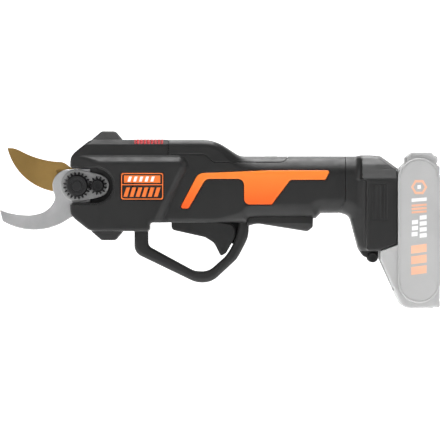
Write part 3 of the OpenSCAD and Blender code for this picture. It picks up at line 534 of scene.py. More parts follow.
GUARD_FRONT = Outline([
    (55, -28.4, 3), (55, -46.6, 5), (90.5, -65.9, 13), (101.5, -66.6, 13), (114.5, -55), (110, -28.4)])
TRIM = Outline([
    (79.6, -17.6, 1.6), (86.3, -17.6, 1.6), (99.6, 5.3, 5), (129.2, 5.3, 5), (129.2, -14.5, 4.5),
    (150.6, -14.5, 1.5), (165, 4.6, 2.5), (192, 4.6, 1.6), (196, 11.9, 1.6), (148, 11.9, 60),
    (93.8, 9.6, 7)], 0.3)
COVER = Outline([
    (70.7, 24.2, 0.4), (99, 24.2, 4), (106, 18.1, 4), (160, 18.1, 5), (164.1, 24, 1), (164.1, 50),
    (70.7, 50)])
PLATE = Outline(rectangle(34.2, -10.9, 67, 9.9, 1.8), 0.3)
RECESS = Outline([(-30, -13.35), (28.05, -13.35, 13.3), (28.05, 13.35, 13.3), (-30, 13.35)], 0.3)
BUMPER = Outline([(9.6, 34, 1), (36.6, 34, 1), (29.5, 42.5, 4), (19.4, 42.5, 2.5)], 0.3)
SOFT_PAD = Outline([
    (131.4, -31.2, 0.6), (139.5, -29.2, 12), (178.5, -35.4, 3.5), (182.4, -32, 2), (182.8, -22.5, 0.5),
    (131.4, -22.5, 0.5)])
TRIGGER = Outline([
    (73, -20.6, 3), (73, -34, 3.2), (99, -39.8, 10), (106, -44.2, 8), (111.3, -54.6, 1.4), (115.4, -52, 1),
    (122.6, -39.3, 6), (122.4, -29.5, 6), (110, -27.6, 4), (79.5, -20.6, 3)])
SEAM = Outline([(207.65, 60), (207.65, -11, 2), (199, -26.5), (199, -80), (290, -80), (290, 60)])
FOOT_SIDE = Outline([
    (185, -21), (204, -21, 3), (210.8, -23.2, 7), (217.5, -48, 8), (222.4, -55.4, 4), (233.4, -55.4, 1),
    (233.9, -49.7, 0.4), (247.4, -44.8, 1.5), (247.4, 12.2, 0.6), (233.6, 22, 1), (226, 22.8), (185, 22.8)])
RECEIVER_SIDE = Outline([
    (219.5, -46, 3), (223, -49.6, 1), (233.9, -49.7, 0.4), (247.4, -44.8, 1.5), (247.4, 11.4, 0.6),
    (234, 21.3, 1), (219.5, 21.6, 0.8)])
RECEIVER_SECTION = Outline(mirrored([(-22, 22.6, 4), (-29.5, 16.4, 4), (-36, 4.7, 5), (-36, -80)]))
PACK_LOW = Outline([
    (234.4, -50.2, 0.5), (234.2, -56.5, 1), (251.4, -94.5, 8), (274.6, -94.5, 0.4), (274.6, -93.8),
    (279.8, -93.8, 1), (279.8, -20), (248, -20), (248, -45.2)])
PACK_CAP = Outline([
    (254.6, 4), (279.7, 4), (279.7, 14.8, 0.6), (276.4, 16.6, 0.8), (278.2, 18.2, 0.3), (278.2, 22.4, 1),
    (275.3, 23.3, 0.4), (273.3, 25.6, 1.2), (258.2, 25.6, 2), (254.6, 22.3, 0.8)])
CAPSULE = Outline(rectangle(247.5, -90.3, 280, 21.1, 16.2))
LATCH_ROOM = Outline([(232, -58), (238, -44), (243.6, -44), (243.6, -58), (251.5, -77.6), (243, -82.5)])
LATCH_SIDE = Outline([
    (235.1, -59.6, 0.4), (237.1, -55, 0.6), (241, -55, 0.6), (241, -61), (249, -78.2, 0.8),
    (244.2, -79, 0.6)], 0.3)
HOOK = Outline(
    [(-60, -18.2, 0.5)]
    + arc((-57.6, -27.5), (-34.7, -34.1), (-11.5, -28.8), 14)
    + [(-2.6, -23.4, 3), (7.5, -13.1, 0.5), (10.1, -13.1, 0.3), (10.1, 13.1, 0.3), (-1, 13.1, 4)]
    + arc((-6, 12.6), (-15.6, 8.8), (-19, 0), 12)
    + arc((-18.6, -4.4), (-17.3, -8.7), (-17.6, -11.4), 5)
    + arc((-18.2, -12.9), (-22.6, -18.4), (-30, -21.8), 12)
    + arc((-34.5, -22.4), (-48, -21.6), (-59.6, -18.3), 10), 0.25, 4)
CUTTING_ARC = [(-54.1, 29.3), (-40.1, 6), (-18.4, -4.4)]
GOLD_BLADE = Outline(
    arc(*CUTTING_ARC, 20)
    + [(-10, -8.5), (0, -13), (0, 13), (-5.3, 14.4), (-9.1, 17.3, 3), (-11.5, 18.4, 4)]
    + arc((-16.9, 18.7), (-30.8, 21.5), (-44.8, 27.5), 12)
    + [(-49.4, 29.2, 8)], 0.25, 4)


# ---------- housing ----------

def front_block(x, y, z):
    """The motor housing: a core with a raised side panel that has sloping edges."""
    core = both(FRONT_SIDE(x, z), CORE_SECTION(y, z), 1.6)
    slope = (np.abs(y) - (CORE_HALF - 0.1) + BLOCK_SIDE(x, z)) * math.sqrt(0.5)
    panel = both(both(slope, np.abs(y) - PANEL_HALF, 1.2), both(BLOCK_SIDE(x, z), -35 - z), 2.2)
    panel = both(panel, FRONT_SIDE(x, z), 2.2)
    return both(either(both(core, x - CORE_END), panel, 0.6), FRONT_PLAN(x, y), 1.6)


def rear_block(x, y, z):
    """The middle and the handle: the sides draw in and the edges get rounder towards the back."""
    t = np.clip((x - 104) / 38, 0, 1)
    t = t * t * (3 - 2 * t)
    r = np.where(z > 0, 5.5 + 9.5 * t, 3.5 + 8.5 * t)
    across = np.abs(y) - (CORE_HALF - (CORE_HALF - HANDLE_HALF) * t)
    return both(both(rolled(REAR_SIDE(x, z), across, r), REAR_END(x, z), 0.3), 60 - x)


def housing(x, y, z):
    """The whole housing, solid."""
    return either(front_block(x, y, z), rear_block(x, y, z), 0.3)


def trigger_turn(x, z):
    """The direction from the trigger's pivot, in degrees."""
    return np.degrees(np.arctan2(z - TRIGGER_PIVOT[1], np.maximum(x - TRIGGER_PIVOT[0], 1)))


def guard_hole(x, z):
    """The finger opening. Its rear edge is an arc about the trigger's pivot."""
    behind = both(disc(x, z, TRIGGER_PIVOT, TRIGGER_REACH), 88 - x)
    behind = both(behind, (-38.6 - trigger_turn(x, z)) * 0.5)
    return either(GUARD_FRONT(x, z), both(behind, z + 28))


def guard(x, y, z):
    bar = both(GUARD_OUTER(x, z), np.abs(y) - GUARD_HALF, 3.2)
    return both(less(bar, guard_hole(x, z), 2), z + 27.5)


def trigger_flange(x, y, z):
    """A thin lip beside the trigger's back edge that closes the gap from one side."""
    reach = disc(x, z, TRIGGER_PIVOT, TRIGGER_REACH)
    back = both(both(between(reach, -6, 0.8), (-25 - trigger_turn(x, z)) * 0.5), both(z + 27, 112 - x))
    above = both(between(x, 108, 126), between(z, -31, -27))
    return both(either(back, above), between(y, 7, 7.9), 0.3)


def trigger_slot(x, y, z):
    room = both(disc(x, z, TRIGGER_PIVOT, TRIGGER_REACH + 0.1), np.abs(y) - 7.2)
    return both(both(room, between(z, -29, -19)), 70 - x)


def button_holes(x, y, z):
    low, high = low_high("power_button")
    middle = (low + high) / 2
    hole = both(disc(x, y, (middle[0], middle[1]), 5.4), 12 - z)
    low, high = low_high("indicator_lens")
    return either(hole, block(x, y, z, low - (0.1, 0.1, 8), high + (0.1, 0.1, 8), 0.3))


def screw_bosses(x, y, z, shell, outer, places):
    """Pillars for the case screws."""
    for at in places:
        shell = either(shell, both(both(disc(x, z, at, 4.2), outer + 1), np.abs(y) - CORE_HALF))
    return shell


def screw_wells(x, y, z, shell, places):
    """The wells that the screws' heads sit in, on the right side."""
    for at in places:
        shell = less(shell, both(disc(x, z, at, 3.2), 13.4 - y), 0.3)
    return shell


def lock_side(x, y, z, shell, outer):
    """The recess for the blade's nut and its adjuster, on the left."""
    shell = either(shell, both(both(RECESS(x, z) - 2.2, y - HOOK_Y - 1.8), outer + 0.5))
    shell = less(shell, both(RECESS(x, z), y - HOOK_Y), 0.5)
    shell = less(shell, both(RECESS(x, z) - 1.3, -(outer + 1.4)), 0.4)
    shell = less(shell, block(x, y, z, (-12, HOOK_Y - 0.5, -13.3), (10.3, -4, 13.3)))
    return less(shell, both(disc(x, z, (ADJUSTER_X, 0), 2.3), y))


def bolt_side(x, y, z, shell, outer):
    """The wells for the bolt's head and the case screws, on the right."""
    shell = either(shell, both(both(disc(x, z, CENTRE, 11.6), 14 - y), outer + 0.5))
    shell = less(shell, both(disc(x, z, CENTRE, 9.4), 12.8 - y), 0.5)
    return screw_wells(x, y, z, shell, SCREWS)


def blade_room(x, y, z, shell):
    """The open front, where the blades and the bevel sector stand."""
    shell = less(shell, block(x, y, z, (-12, HOOK_Y - 0.1, -34), (3, -5.5, 28)))
    shell = less(shell, block(x, y, z, (-12, -5.6, -14.5), (0, 3, 12)))
    return less(shell, block(x, y, z, (-12, -5.6, -9), (0, 13.3, 9)))


def inlay_seats(x, y, z, shell, outer):
    """The seats of the orange trim, the side plate, the top cover and the red badge."""
    for shape, gap, depth, edge in ((TRIM, 0.6, 1.5, 0.3), (PLATE, 0.3, 1, 0.2), (COVER, 0.2, 1.3, 0.2)):
        shell = less(shell, both(shape(x, z) - gap, -(outer + depth)), edge)
    low, high = low_high("top_badge")
    return less(shell, block(x, y, z, low - (0.3, 0.3, 0.3), high + (0.3, 0.3, 5), 0.6))


def shell_half(side):
    """The field of one housing shell. side is -1 for the left one."""

    def field(x, y, z):
        outer = housing(x, y, z)
        shell = screw_bosses(x, y, z, less(outer, outer + WALL), outer, SCREWS)
        shell = either(shell, both(guard(x, y, z), -(outer + 1)), 0.8)
        shell = (lock_side if side < 0 else bolt_side)(x, y, z, shell, outer)
        shell = less(shell, trigger_slot(x, y, z))
        if side > 0:
            shell = either(shell, trigger_flange(x, y, z))
        shell = inlay_seats(x, y, z, blade_room(x, y, z, shell), outer)
        shell = less(shell, button_holes(x, y, z))
        shell = less(shell, block(x, y, z, (203, -14, -12), (210, 14, 16)))
        return both(shell, SPLIT - side * y, 0.3)

    return field


def make_shells():
    for side, word in SIDES:
        moulded(word + "_shell_moulding", word + "_shell", shell_half(side), fine(0.75), BODY, 0.5, 0.5)


def make_trims():
    for side, word in SIDES:
        def field(x, y, z, side=side):
            outer = housing(x, y, z)
            proud = both(TRIM(x, z), outer - 0.35, 0.5)
            return both(less(proud, outer + 1.3), 12 - side * y)
        moulded(word + "_trim_inlay", word + "_trim", field, fine(0.5), ORANGE, 1, 1)


def make_cover():
    def field(x, y, z):
        outer = housing(x, y, z)
        plate = less(both(COVER(x, z) + 0.12, outer, 0.4), outer + 1.15)
        return less(both(plate, 14 - z), button_holes(x, y, z), 0.3)
    moulded("top_cover_skin", "top_cover", field, fine(0.6), COVER_SKIN, 0.5, 0.5)


def make_bumpers():
    """The two blocks on the nose. Their sides lean in, more so on the upper one."""
    def field(x, y, z):
        lean = np.where(z > 0, 0.5, 0.1)
        side = (np.abs(y) - 16) + (np.abs(z) - 35.5) * lean
        return both(both(BUMPER(x, np.abs(z)), side, 1), np.abs(z) - 42.5, 1)
    moulded("front_bumper_pads", "front_bumpers", field, fine(0.6), BODY, 1, 1)


def make_lower_grip():
    def field(x, y, z):
        side = np.abs(y) - 14 + np.maximum(-29 - z, 0) * 0.7
        pad = less(both(SOFT_PAD(x, z), side, 1.8), housing(x, y, z) - 0.12, 0.3)
        return less(pad, guard(x, y, z) - 0.12)
    moulded("lower_grip_pad", "lower_grip", field, fine(0.5), SOFT, (2.2, 0, 0.6), (0, 0, 3))


def make_trigger():
    """The trigger, with a bore for its pin, room for its spring and a slot for its sensor."""
    def field(x, y, z):
        solid = both(TRIGGER(x, z), np.abs(y) - 6.5, 1.6)
        solid = less(solid, disc(x, z, TRIGGER_PIVOT, 1.55))
        spring_room = np.hypot(np.maximum(np.abs(x - 96) - 1.3, 0), y) - 3.4
        solid = less(solid, both(spring_room, -31.2 - z))
        return less(solid, block(x, y, z, (84.5, -2.5, -30), (92, 2.5, -10)))
    moulded("trigger_lever", "trigger", field, fine(0.5), SOFT)


# ---------- marks, badge and small top parts ----------

def bands(n, rings, closed=False):
    """Faces between rings of n points each, and from the last ring to the first if closed."""
    return [[r * n + i, r * n + (i + 1) % n, (r + 1) % rings * n + (i + 1) % n, (r + 1) % rings * n + i]
            for r in range(rings if closed else rings - 1) for i in range(n)]


def outward(rings, faces):
    """Vertices and faces from rings of (x, z) points, each at its y, with the faces turned out."""
    vertices = [(p[0], y, p[1]) for ring, y in rings for p in ring]
    return vertices, [f[::-1] for f in faces] if rings[1][1] > rings[0][1] else faces


def prism(points, inner, outer, bevel):
    """An (x, z) outline drawn out from y = inner to y = outer, with its outer edge bevelled."""
    points = np.asarray(points, float)
    n = len(points)
    edge = np.roll(points, -1, 0) - points
    edge /= np.linalg.norm(edge, axis=1, keepdims=True)
    normal = np.stack([-edge[:, 1], edge[:, 0]], 1)
    before = np.roll(normal, 1, 0)
    small = points + bevel * (normal + before) / (1 + (normal * before).sum(1, keepdims=True))
    drop = math.copysign(bevel, outer - inner)
    faces = bands(n, 3) + [list(range(n))[::-1], [2 * n + i for i in range(n)]]
    return outward([(points, inner), (points, outer - drop), (small, outer)], faces)


def joined(parts):
    """Several vertex and face lists as one."""
    vertices, faces = [], []
    for v, f in parts:
        faces += [[i + len(vertices) for i in face] for face in f]
        vertices += list(v)
    return vertices, faces


def ring_prism(rows, width, inner, outer):
    """A raised frame of the given width along a convex outline, as one strip of mesh."""
    points = rounded(rows)
    middle = points.mean(0)
    span = points.max(0) - points.min(0)
    small = middle + (points - middle) * (1 - 2 * width / span)
    rings = [(points, inner), (points, outer), (small, outer), (small, inner)]
    return outward(rings, bands(len(points), 4, True))


def slanted(x, z, width, height, lean=0):
    """A bar, leaning if asked, counter-clockwise."""
    return [(x, z), (x + width, z), (x + width + lean, z + height), (x + lean, z + height)]


def printed(name, parts, material, node):
    """Raised print that rides on a CAD node's body without replacing it."""
    dressed(new_mesh(name, *joined(parts), sharp=20), node, material)


def make_nameplates():
    """A framed plate with plain leaning bars on each side."""
    face = PANEL_HALF + 0.1
    for side, word in SIDES:
        def field(x, y, z, side=side):
            return both(PLATE(x, z), between(side * y, PANEL_HALF - 0.9, face), 0.15)
        node = word + "_nameplate"
        moulded(node + "_base", node, field, 0.35, DARK_PANEL, 0.3, 0.3)
        sunk, proud = side * (face - 0.2), side * (face + 0.25)
        orange = [ring_prism(rectangle(34.4, -10.7, 66.8, 9.7, 1.6), 0.75, side * (face - 0.3), proud),
                  prism(slanted(36.6, 2.2, 28, 5.7), sunk, proud, 0.12),
                  prism(slanted(35, 0.35, 31.2, 0.7), sunk, proud, 0.1)]
        orange += [prism(slanted(36.2 + 4.7 * k, -8.6, 2.9, 7.2, 2.2), sunk, proud, 0.15) for k in range(6)]
        printed(node + "_print", orange, PRINT, node)
        low, high = proud - side * 0.1, proud + side * 0.12
        white = [prism(slanted(39.3 + 4.4 * k, 3.1, 2.2, 3.9, 1.2), low, high, 0.08) for k in range(5)]
        printed(node + "_bars", white, WHITE, node)


def make_badge():
    """A ribbed red block on top, with a thin ribbed strip down each side."""
    low, high = low_high("top_badge")

    def ribs(x, depth):
        return depth * np.cos((x - low[0]) * 2 * math.pi / RIB_PITCH)

    def field(x, y, z):
        body = block(x, y, z, low, high, 0.8)
        side = both(between(x, low[0], high[0]), np.abs(y) - 12)
        return both(both(body, z - high[2] + 0.25 + ribs(x, 0.25)), side, 0.2)
    moulded("top_badge_block", "top_badge", field, 0.35, RED)
    for side, word in SIDES:
        def wrap(x, y, z, side=side):
            outer = housing(x, y, z)
            strip = both(both(between(x, low[0], high[0]), between(z, 32.1, 36), 0.6), outer - 0.3, 0.2)
            strip = both(less(strip, outer + 0.6), 11 - side * y)
            return both(strip, outer - 0.12 - ribs(x, 0.16))
        near, far = sorted((11 * side, 26 * side))
        mesh = surface(wrap, (low[0], near, 31.5), (high[0], far, 36), 0.4)
        dressed(new_mesh("top_badge_wrap_" + word[0], *mesh), "top_badge", RED)


def make_button():
    """A round cap with a flange below, a hollow top and a ring cut in it."""
    low, high = low_high("power_button")
    at = (low + high) / 2

    def field(x, y, z):
        cap = both(disc(x, y, at[:2], 5.2), z - high[2], 0.6)
        flange = both(disc(x, y, at[:2], 6.4), z - low[2] - 1.5)
        dish = np.sqrt((x - at[0]) ** 2 + (y - at[1]) ** 2 + (z - high[2] - 18) ** 2) - 18.4
        ring = both(np.abs(disc(x, y, at[:2], 2.4)) - 0.3, high[2] - 1 - z)
        return both(less(less(either(cap, flange), dish, 0.2), ring), low[2] - z)
    moulded("power_button_cap", "power_button", field, 0.35, LATCH)


def make_lens():
    """A row of small windows."""
    low, high = low_high("indicator_lens")

    def field(x, y, z):
        across = (y + 16.5) % 3 - 1.5
        window = block(x, across, z, (low[0], -1, low[2]), (high[0], 1, high[2]), 0.4)
        return both(window, np.abs(y) - 4)
    moulded("indicator_windows", "indicator_lens", field, 0.25, LENS)


def make_pin():
    low, high = low_high("lanyard_pin")
    at = ((low + high) / 2)[[0, 2]]

    def field(x, y, z):
        bar = both(disc(x, z, at, 2), np.abs(y) - 16)
        knob = both(disc(x, z, at, 4.05), between(np.abs(y), 14.2, high[1]), 0.8)
        return less(either(bar, knob), both(disc(x, z, at, 2.4), high[1] - 0.5 - np.abs(y)), 0.2)
    moulded("lanyard_bar_pin", "lanyard_pin", field, 0.3, BLACK)


# ---------- foot ----------

def foot_solid(x, y, z):
    """The foot's neck, and the wider receiver that the battery slides on."""
    r = np.where(z > 0, 15, 4.5 + 7.5 * np.clip((z + 40) / 20, 0, 1))
    core = both(rolled(FOOT_SIDE(x, z), np.abs(y) - HANDLE_HALF, r), SEAM(x, z), 0.2)
    receiver = both(RECEIVER_SIDE(x, z), RECEIVER_SECTION(y, z), 1)
    front = 219.5 + 4.1 * np.clip((5.5 - z) / 1.6, 0, 1)
    return either(core, both(receiver, (front - x) * 0.6, 0.8), 6)


def rail_room(x, y, z, shell):
    """The rails' channel, with the openings for the contacts and the latch below."""
    for low, high in (((236.5, -30.9, -80), (243.6, 30.9, 12.6)), ((236.5, -26.9, -80), (260, 26.9, 12.6)),
                      ((233.2, -16, -62), (240, 16, -47)), ((215, -9, -62), (235, 9, -48.7))):
        shell = less(shell, block(x, y, z, low, high))
    shell = less(shell, block(x, np.abs(y), z, (215, 14, -62), (235, 40, -50.5)))
    return less(shell, block(x, y, z, (230, -21.2, -22.2), (240, 21.2, 9.2)))


def ribbed_recess(x, y, z, shell):
    """A shallow recess with upright ribs in each side of the foot."""
    well = both(between(x, 226.8, 239.4), between(z, -27.1, 1.6), 1.2)
    shell = less(shell, both(well, 35.45 - np.abs(y)), 0.2)
    rib = both(between((x - 226.8) % 3.15, 1, 2.2), well + 1.2, 0.3)
    return either(shell, both(rib, between(np.abs(y), 34.8, 35.85), 0.2))


def foot_half(side):
    """The field of one foot shell. side is -1 for the left one."""

    def field(x, y, z):
        outer = foot_solid(x, y, z)
        hollow = both(both(outer + WALL, -46 - z), x - 232.5)
        behind = both(outer + WALL, both(236.4 - x, -46 - z))
        shell = less(less(outer, hollow), behind)
        shell = screw_bosses(x, y, z, shell, outer, FOOT_SCREWS)
        shell = less(shell, block(x, y, z, (200, -15, -15), (212, 15, 17)))
        shell = ribbed_recess(x, y, z, rail_room(x, y, z, shell))
        if side > 0:
            shell = screw_wells(x, y, z, shell, FOOT_SCREWS)
        return both(shell, SPLIT - side * y, 0.3)

    return field


def make_foot():
    for side, word in SIDES:
        moulded(word + "_foot_shell_moulding", word + "_foot_shell", foot_half(side), fine(0.65), FOOT, 0.5, 0.5)


# ---------- cutting head ----------

def make_hook():
    low, high = low_high("fixed_blade")

    def field(x, y, z):
        blade = bevelled(HOOK(x, z), between(y, low[1], high[1]), 0.35)
        return less(blade, disc(x, z, CENTRE, BLADE_BORE))
    moulded("hook_blade", "fixed_blade", field, fine(0.4), HOOK_STEEL)


def make_gold_blade():
    """The moving blade, with a ground cutting edge and holes for three rivets."""
    low, high = low_high("moving_blade")
    centre, radius = circle_of(*CUTTING_ARC)

    def field(x, y, z):
        leaf = both(either(GOLD_BLADE(x, z), disc(x, z, CENTRE, 13.4), 2), between(y, low[1], high[1]), 0.2)
        from_edge = -disc(x, z, centre, radius)
        ground = (y - high[1] + (5.5 - from_edge) * 0.5) * 0.894
        leaf = both(leaf, np.where(x < -14, ground, -1))
        leaf = less(leaf, disc(x, z, CENTRE, BLADE_BORE))
        leaf = less(leaf, both(disc(x, z, (-14, 11), 1.9), y - low[1] - 2.4), 0.2)
        for turn in np.radians((10, -25, -60)):
            leaf = less(leaf, disc(x, z, (10.8 * math.cos(turn), 10.8 * math.sin(turn)), 1.5))
        return leaf
    moulded("gold_cutting_blade", "moving_blade", field, fine(0.4), GOLD)


def make_lock_plate():
    low, high = low_high("lock_plate")

    def field(x, y, z):
        key = either(disc(x, z, CENTRE, 12.6), disc(x, z, (ADJUSTER_X, 0), 8.8), 9)
        plate = both(key, between(y, low[1], high[1]), 0.4)
        return less(less(plate, disc(x, z, CENTRE, BLADE_BORE)), disc(x, z, (ADJUSTER_X, 0), 2.1))
    moulded("lock_plate_stamping", "lock_plate", field, fine(0.35), LOCK)


def gear_outline(module, teeth, turn):
    """An involute gear: above and below are its teeth's heights over and under the pitch circle."""
    pitch, above, below, swell = module * teeth / 2, 0.98, 1.25, -0.12
    pressure = math.radians(20)
    base = pitch * math.cos(pressure)

    def half_angle(r):
        a = math.acos(min(1, base / r))
        return math.pi / 2 / teeth + swell / 2 / pitch + (math.tan(pressure) - pressure) - (math.tan(a) - a)

    low = max(base, pitch - below)
    flank = [pitch - below] + [low + (pitch + above - low) * i / 4 for i in range(5)]
    points = []
    for k in range(teeth):
        middle = 2 * math.pi * k / teeth + turn
        for r, sign in [(r, -1) for r in flank] + [(r, 1) for r in flank[::-1]]:
            angle = middle + sign * half_angle(max(r, low))
            points.append((r * math.cos(angle), r * math.sin(angle)))
    return Outline(points, 0.12, 1.2)


def make_lock_gears():
    """The blade's nut and the small gear that adjusts it, in mesh."""
    module = 2 * ADJUSTER_X / (NUT_TEETH + ADJUSTER_TEETH)
    nut_low, nut_high = low_high("pivot_nut")
    nut = gear_outline(module, NUT_TEETH, math.radians(9))

    def nut_field(x, y, z):
        teeth = bevelled(nut(x, z), between(y, nut_high[1] - 4, nut_high[1]), 0.45)
        hub = bevelled(disc(x, z, CENTRE, 8.2), between(y, nut_low[1], nut_high[1]), 0.6)
        body = less(either(teeth, hub), both(disc(x, z, CENTRE, 5.4), y - nut_low[1] - 0.6), 0.2)
        return less(body, disc(x, z, CENTRE, BLADE_BORE))
    moulded("lock_nut_gear", "pivot_nut", nut_field, fine(0.22), OXIDE)
    low, high = low_high("adjuster_gear")
    small = gear_outline(module, ADJUSTER_TEETH, math.pi / ADJUSTER_TEETH)

    def adjuster_field(x, y, z):
        u = x - ADJUSTER_X
        teeth = bevelled(small(u, z), between(y, high[1] - 3.8, high[1]), 0.4)
        hub = bevelled(disc(u, z, CENTRE, 4.6), between(y, low[1], high[1]), 0.4)
        body = less(either(teeth, hub), both(disc(u, z, CENTRE, 3.5), y - high[1] + 1.6), 0.2)
        return less(body, disc(u, z, CENTRE, 2.05))
    moulded("adjuster_pinion", "adjuster_gear", adjuster_field, fine(0.22), OXIDE)


def make_bolt():
    low, high = low_high("pivot_bolt")

    def field(x, y, z):
        shank = both(disc(x, z, CENTRE, 4), between(y, low[1], high[1]), 0.5)
        u, v = np.abs(x), np.abs(z)
        hexagon = np.maximum(v, u * math.sqrt(0.75) + v * 0.5) - 7 * math.sqrt(0.75)
        head = both(hexagon, between(y, high[1] - 4.6, high[1]))
        head = both(head, disc(x, z, CENTRE, 6.9) + np.maximum(y - high[1] + 1.1, 0) * 0.8, 0.2)
        return either(shank, head)
    moulded("pivot_bolt_body", "pivot_bolt", field, fine(0.3), OXIDE)


# ---------- battery ----------

def pack_solid(x, y, z):
    body = either(PACK_LOW(x, z), CAPSULE(x, z) + 0.6)
    body = both(body, np.abs(y) - PACK_HALF, 1.5)
    cap = both(PACK_CAP(x, z), np.abs(y) - (PACK_HALF - 1.5), 1.5)
    return either(body, cap)


def pack_bosses(y, z, r):
    """Round bars along X at the four case screws."""
    return np.minimum(disc(np.abs(y), z, (22, -89.5), r), disc(np.abs(y), z, (22, 14.5), r))


def front_case(x, y, z):
    """The case's front half: rails, slots and windows for the contacts, and room for the release."""
    outer = pack_solid(x, y, z)
    shell = less(both(outer, x - PACK_SPLIT + 0.04), both(outer + 2.2, 250.2 - x))
    rails = block(x, y, z, (237, -30.5, -44), (243.1, 30.5, 12), 0.6)
    neck = block(x, y, z, (243, -26.5, -44), (249, 26.5, 12))
    shell = either(shell, either(rails, neck))
    across = np.abs((y + 20) % 10 - 5)
    slots = both(both(across - 1, np.abs(y) - 18), both(between(z, -24, 14), x - 248))
    windows = both(across - 2.1, np.abs(y) - 18)
    windows = both(windows, both(between(z, -20.1, -3.9), between(x, 247.9, 251)))
    room = both(LATCH_ROOM(x, z), np.abs(y) - 15.4)
    return less(less(less(less(shell, slots), windows), room), both(pack_bosses(y, z, 1.3), 240 - x))


def rear_case(x, y, z):
    """The case's rear half, with the screws' pillars and wells."""
    outer = pack_solid(x, y, z)
    inside = less(outer + 2.2, pack_bosses(y, z, 3))
    shell = both(less(outer, inside), PACK_SPLIT - x, 0.2)
    shell = less(shell, pack_bosses(y, z, 1.4))
    return less(shell, both(pack_bosses(y, z, 2.8), 276 - x), 0.2)


def make_pack():
    moulded("pack_front_moulding", "pack_front_shell", front_case, fine(0.8), PACK, 0.4, 0.4)
    moulded("pack_rear_moulding", "pack_rear_shell", rear_case, fine(0.8), PACK, 0.4, 0.4)


def make_pack_panels():
    def field(x, y, z):
        panel = both(CAPSULE(x, z), between(np.abs(y), PACK_HALF, CAPSULE_HALF), 0.8)
        groove = both(np.abs(CAPSULE(x, z) + 1.7) - 0.3, CAPSULE_HALF - 0.4 - np.abs(y))
        return less(panel, groove, 0.15)
    moulded("pack_side_capsules", "pack_side_panels", field, fine(0.6), PACK_SIDE)


def make_pack_marks():
    """Plain bars and a hexagon, printed on both sides of the battery."""
    turns = [math.radians(60 * k) for k in range(6)]
    hexagon = [(263.7 + 6.3 * math.cos(turn), -1.2 + 6.3 * math.sin(turn)) for turn in turns]
    for side, word in SIDES:
        low, high = side * (CAPSULE_HALF - 0.1), side * (CAPSULE_HALF + 0.05)

        def bar(z, x, height, width, rise, bevel=0.05):
            points = [(x, z), (x + width, z + rise), (x + width, z + height + rise), (x, z + height)]
            return prism(points, low, high, bevel)

        peach = [ring_prism(hexagon, 1.9, low, high)]
        peach += [bar(-16.4 - 2.6 * k, 257.9, 1.7, 11.6, 0.9, 0.02) for k in range(3)]
        peach += [bar(-52.5 - 8.2 * k, 257.5, 6.2, 12, 1.6) for k in range(3)]
        printed("pack_peach_marks_" + word[0], peach, PEACH, "pack_side_panels")
        white = [bar(-12.6, 257.9, 2.6, 11.6, 0.9, 0.02)]
        white += [bar(-30 - 4.6 * k, 258.2 if k < 2 else 257.9, 3.2, 4.6, 0.5) for k in range(3)]
        white += [bar(-26.4 - 4.6 * k, 264.1, 3.2, 5.4, 0.6) for k in range(4)]
        white += [bar(-2.6, 262.4, 2.8, 2.6, 0.2)]
        printed("pack_white_marks_" + word[0], white, WHITE, "pack_side_panels")


def make_release():
    """A leaning pad with cross grooves, and a latch tooth above it."""
    def field(x, y, z):
        pad = both(LATCH_SIDE(x, z), np.abs(y) - 15, 0.8)
        along = (x - 235.1) * 0.425 + (z + 59.6) * -0.905
        deep = (x - 235.1) * 0.905 + (z + 59.6) * 0.425
        grooves = both(np.abs((along + 20) % 3 - 1.5) - 0.5, both(deep - 0.5, between(along, 4, 17)))
        pad = less(pad, both(grooves, np.abs(y) - 12), 0.2)
        return either(pad, block(x, y, z, (237.2, -10, -55.2), (240, 10, -47.6), 0.5))
    moulded("pack_release_pad", "pack_release", field, fine(0.45), LATCH)


# ---------- camera and light ----------

FRAME_WIDTH = 0.3395
STAGE_RADIUS = 7
WALL_GLOW = 0.95
# Each light's name, place and size in metres, and power in watts
LIGHTS = [
    ("top_light", (0.05, 0, 1.2), (1.6, 0.6), 27),
    ("key_light", (-0.5, -1.7, 0.9), (0.9, 0.9), 3),
    ("front_light", (-1.3, -0.2, 0.25), (0.9, 0.7), 4.5),
    ("rear_light", (1.3, -0.3, 0.4), (0.9, 0.7), 3),
    ("back_light", (0.4, 1.2, 0.9), (1, 0.8), 4),
]


def make_camera():
    """A level camera far out on the left. Its picture is as wide as the tool."""
    low, high = (np.array(v) for v in CAD_BOX)
    middle = (low + high) / 2
    data = bpy.data.cameras.new("camera")
    data.lens = 450
    data.sensor_width = 36
    data.clip_end = 50
    camera = placed("camera", data)
    distance = FRAME_WIDTH * data.lens / data.sensor_width
    camera.location = (middle[0] + 0.0006, middle[1] - distance - 0.025, middle[2] - 0.0005)
    camera.rotation_euler = (math.pi / 2, 0, 0)
    bpy.context.scene.camera = camera


def area_light(name, at, size, power):
    """A soft light that points at the tool."""
    data = bpy.data.lights.new(name, "AREA")
    data.shape = "RECTANGLE"
    data.size, data.size_y = size
    data.energy = power
    light = placed(name, data)
    light.location = at
    light.rotation_euler = (-Vector(at)).to_track_quat("-Z", "Y").to_euler()


def pale_finish(name, near, far):
    """A pale matt surface that glows a little: near in front of the tool, far behind it."""
    material, tree, shader, where = nodes_of(name)
    ramp(tree, noise(tree, where, 3, 2), grey(0.88), grey(0.9), shader.inputs["Base Color"])
    put(shader, Roughness=0.9, Emission_Color=(1, 1, 1, 1), Emission_Strength=far)
    if near != far:
        tree.links.new(along(tree, where, "Y", -0.3, 0.5, near, far), shader.inputs["Emission Strength"])
    return material


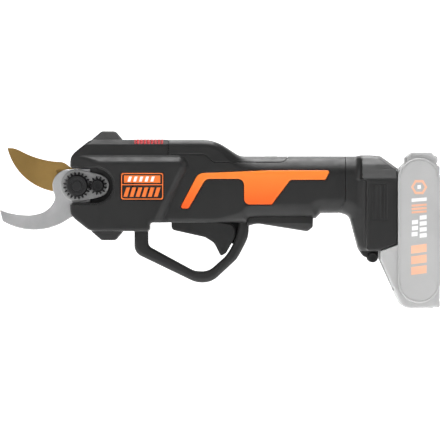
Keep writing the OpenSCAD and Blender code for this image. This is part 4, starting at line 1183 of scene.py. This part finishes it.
def stage_piece(name, vertices, faces, material):
    mesh = bpy.data.meshes.new(name)
    mesh.from_pydata(vertices, [], faces)
    mesh.shade_smooth()
    mesh.materials.append(material)
    piece = placed(name, mesh)
    return piece


def make_stage():
    """A round floor, a curved backdrop behind the tool and a pale wall all round."""
    # The floor lies as far below the tool as the battery slides down, so that it never hides the battery
    floor = CAD_BOX[0][2] - JOINTS["battery_slide"]["range_m"][1] - 0.002
    n = 96
    turns = [k * 2 * math.pi / n for k in range(n)]
    circle = [(STAGE_RADIUS * math.cos(turn), STAGE_RADIUS * math.sin(turn)) for turn in turns]
    pale = pale_finish("pale_floor", 0.68, WALL_GLOW)
    stage_piece("floor", [(x, y, floor) for x, y in circle], [list(range(n))], pale)
    bend = [t * math.pi / 32 for t in range(17)]
    profile = [(4.6 + 1.5 * math.sin(a), floor + 1.502 - 1.5 * math.cos(a)) for a in bend] + [(6.1, 6)]
    vertices = [(x, y, z) for y, z in profile for x in (-3.2, 3.2)]
    faces = [(2 * i, 2 * i + 1, 2 * i + 3, 2 * i + 2) for i in range(len(profile) - 1)]
    stage_piece("backdrop", vertices, faces, pale)
    vertices = [(x, y, z) for z in (floor, 7) for x, y in circle]
    wall = stage_piece("wall", vertices, bands(n, 2), pale_finish("pale_wall", WALL_GLOW, WALL_GLOW))
    wall.visible_diffuse = False
    wall.visible_glossy = False


def make_light():
    world = bpy.data.worlds.new("studio")
    bpy.context.scene.world = world
    world.use_nodes = True
    put(world.node_tree.nodes["Background"], Color=(1, 1, 1, 1), Strength=0.08)
    for light in LIGHTS:
        area_light(*light)
    bpy.context.scene.view_settings.view_transform = "Standard"


finish_cad_nodes()
make_shells()
make_trims()
make_cover()
make_bumpers()
make_lower_grip()
make_trigger()
make_nameplates()
make_badge()
make_button()
make_lens()
make_pin()
make_foot()
make_hook()
make_gold_blade()
make_lock_plate()
make_lock_gears()
make_bolt()
make_pack()
make_pack_panels()
make_pack_marks()
make_release()
make_camera()
make_light()
make_stage()
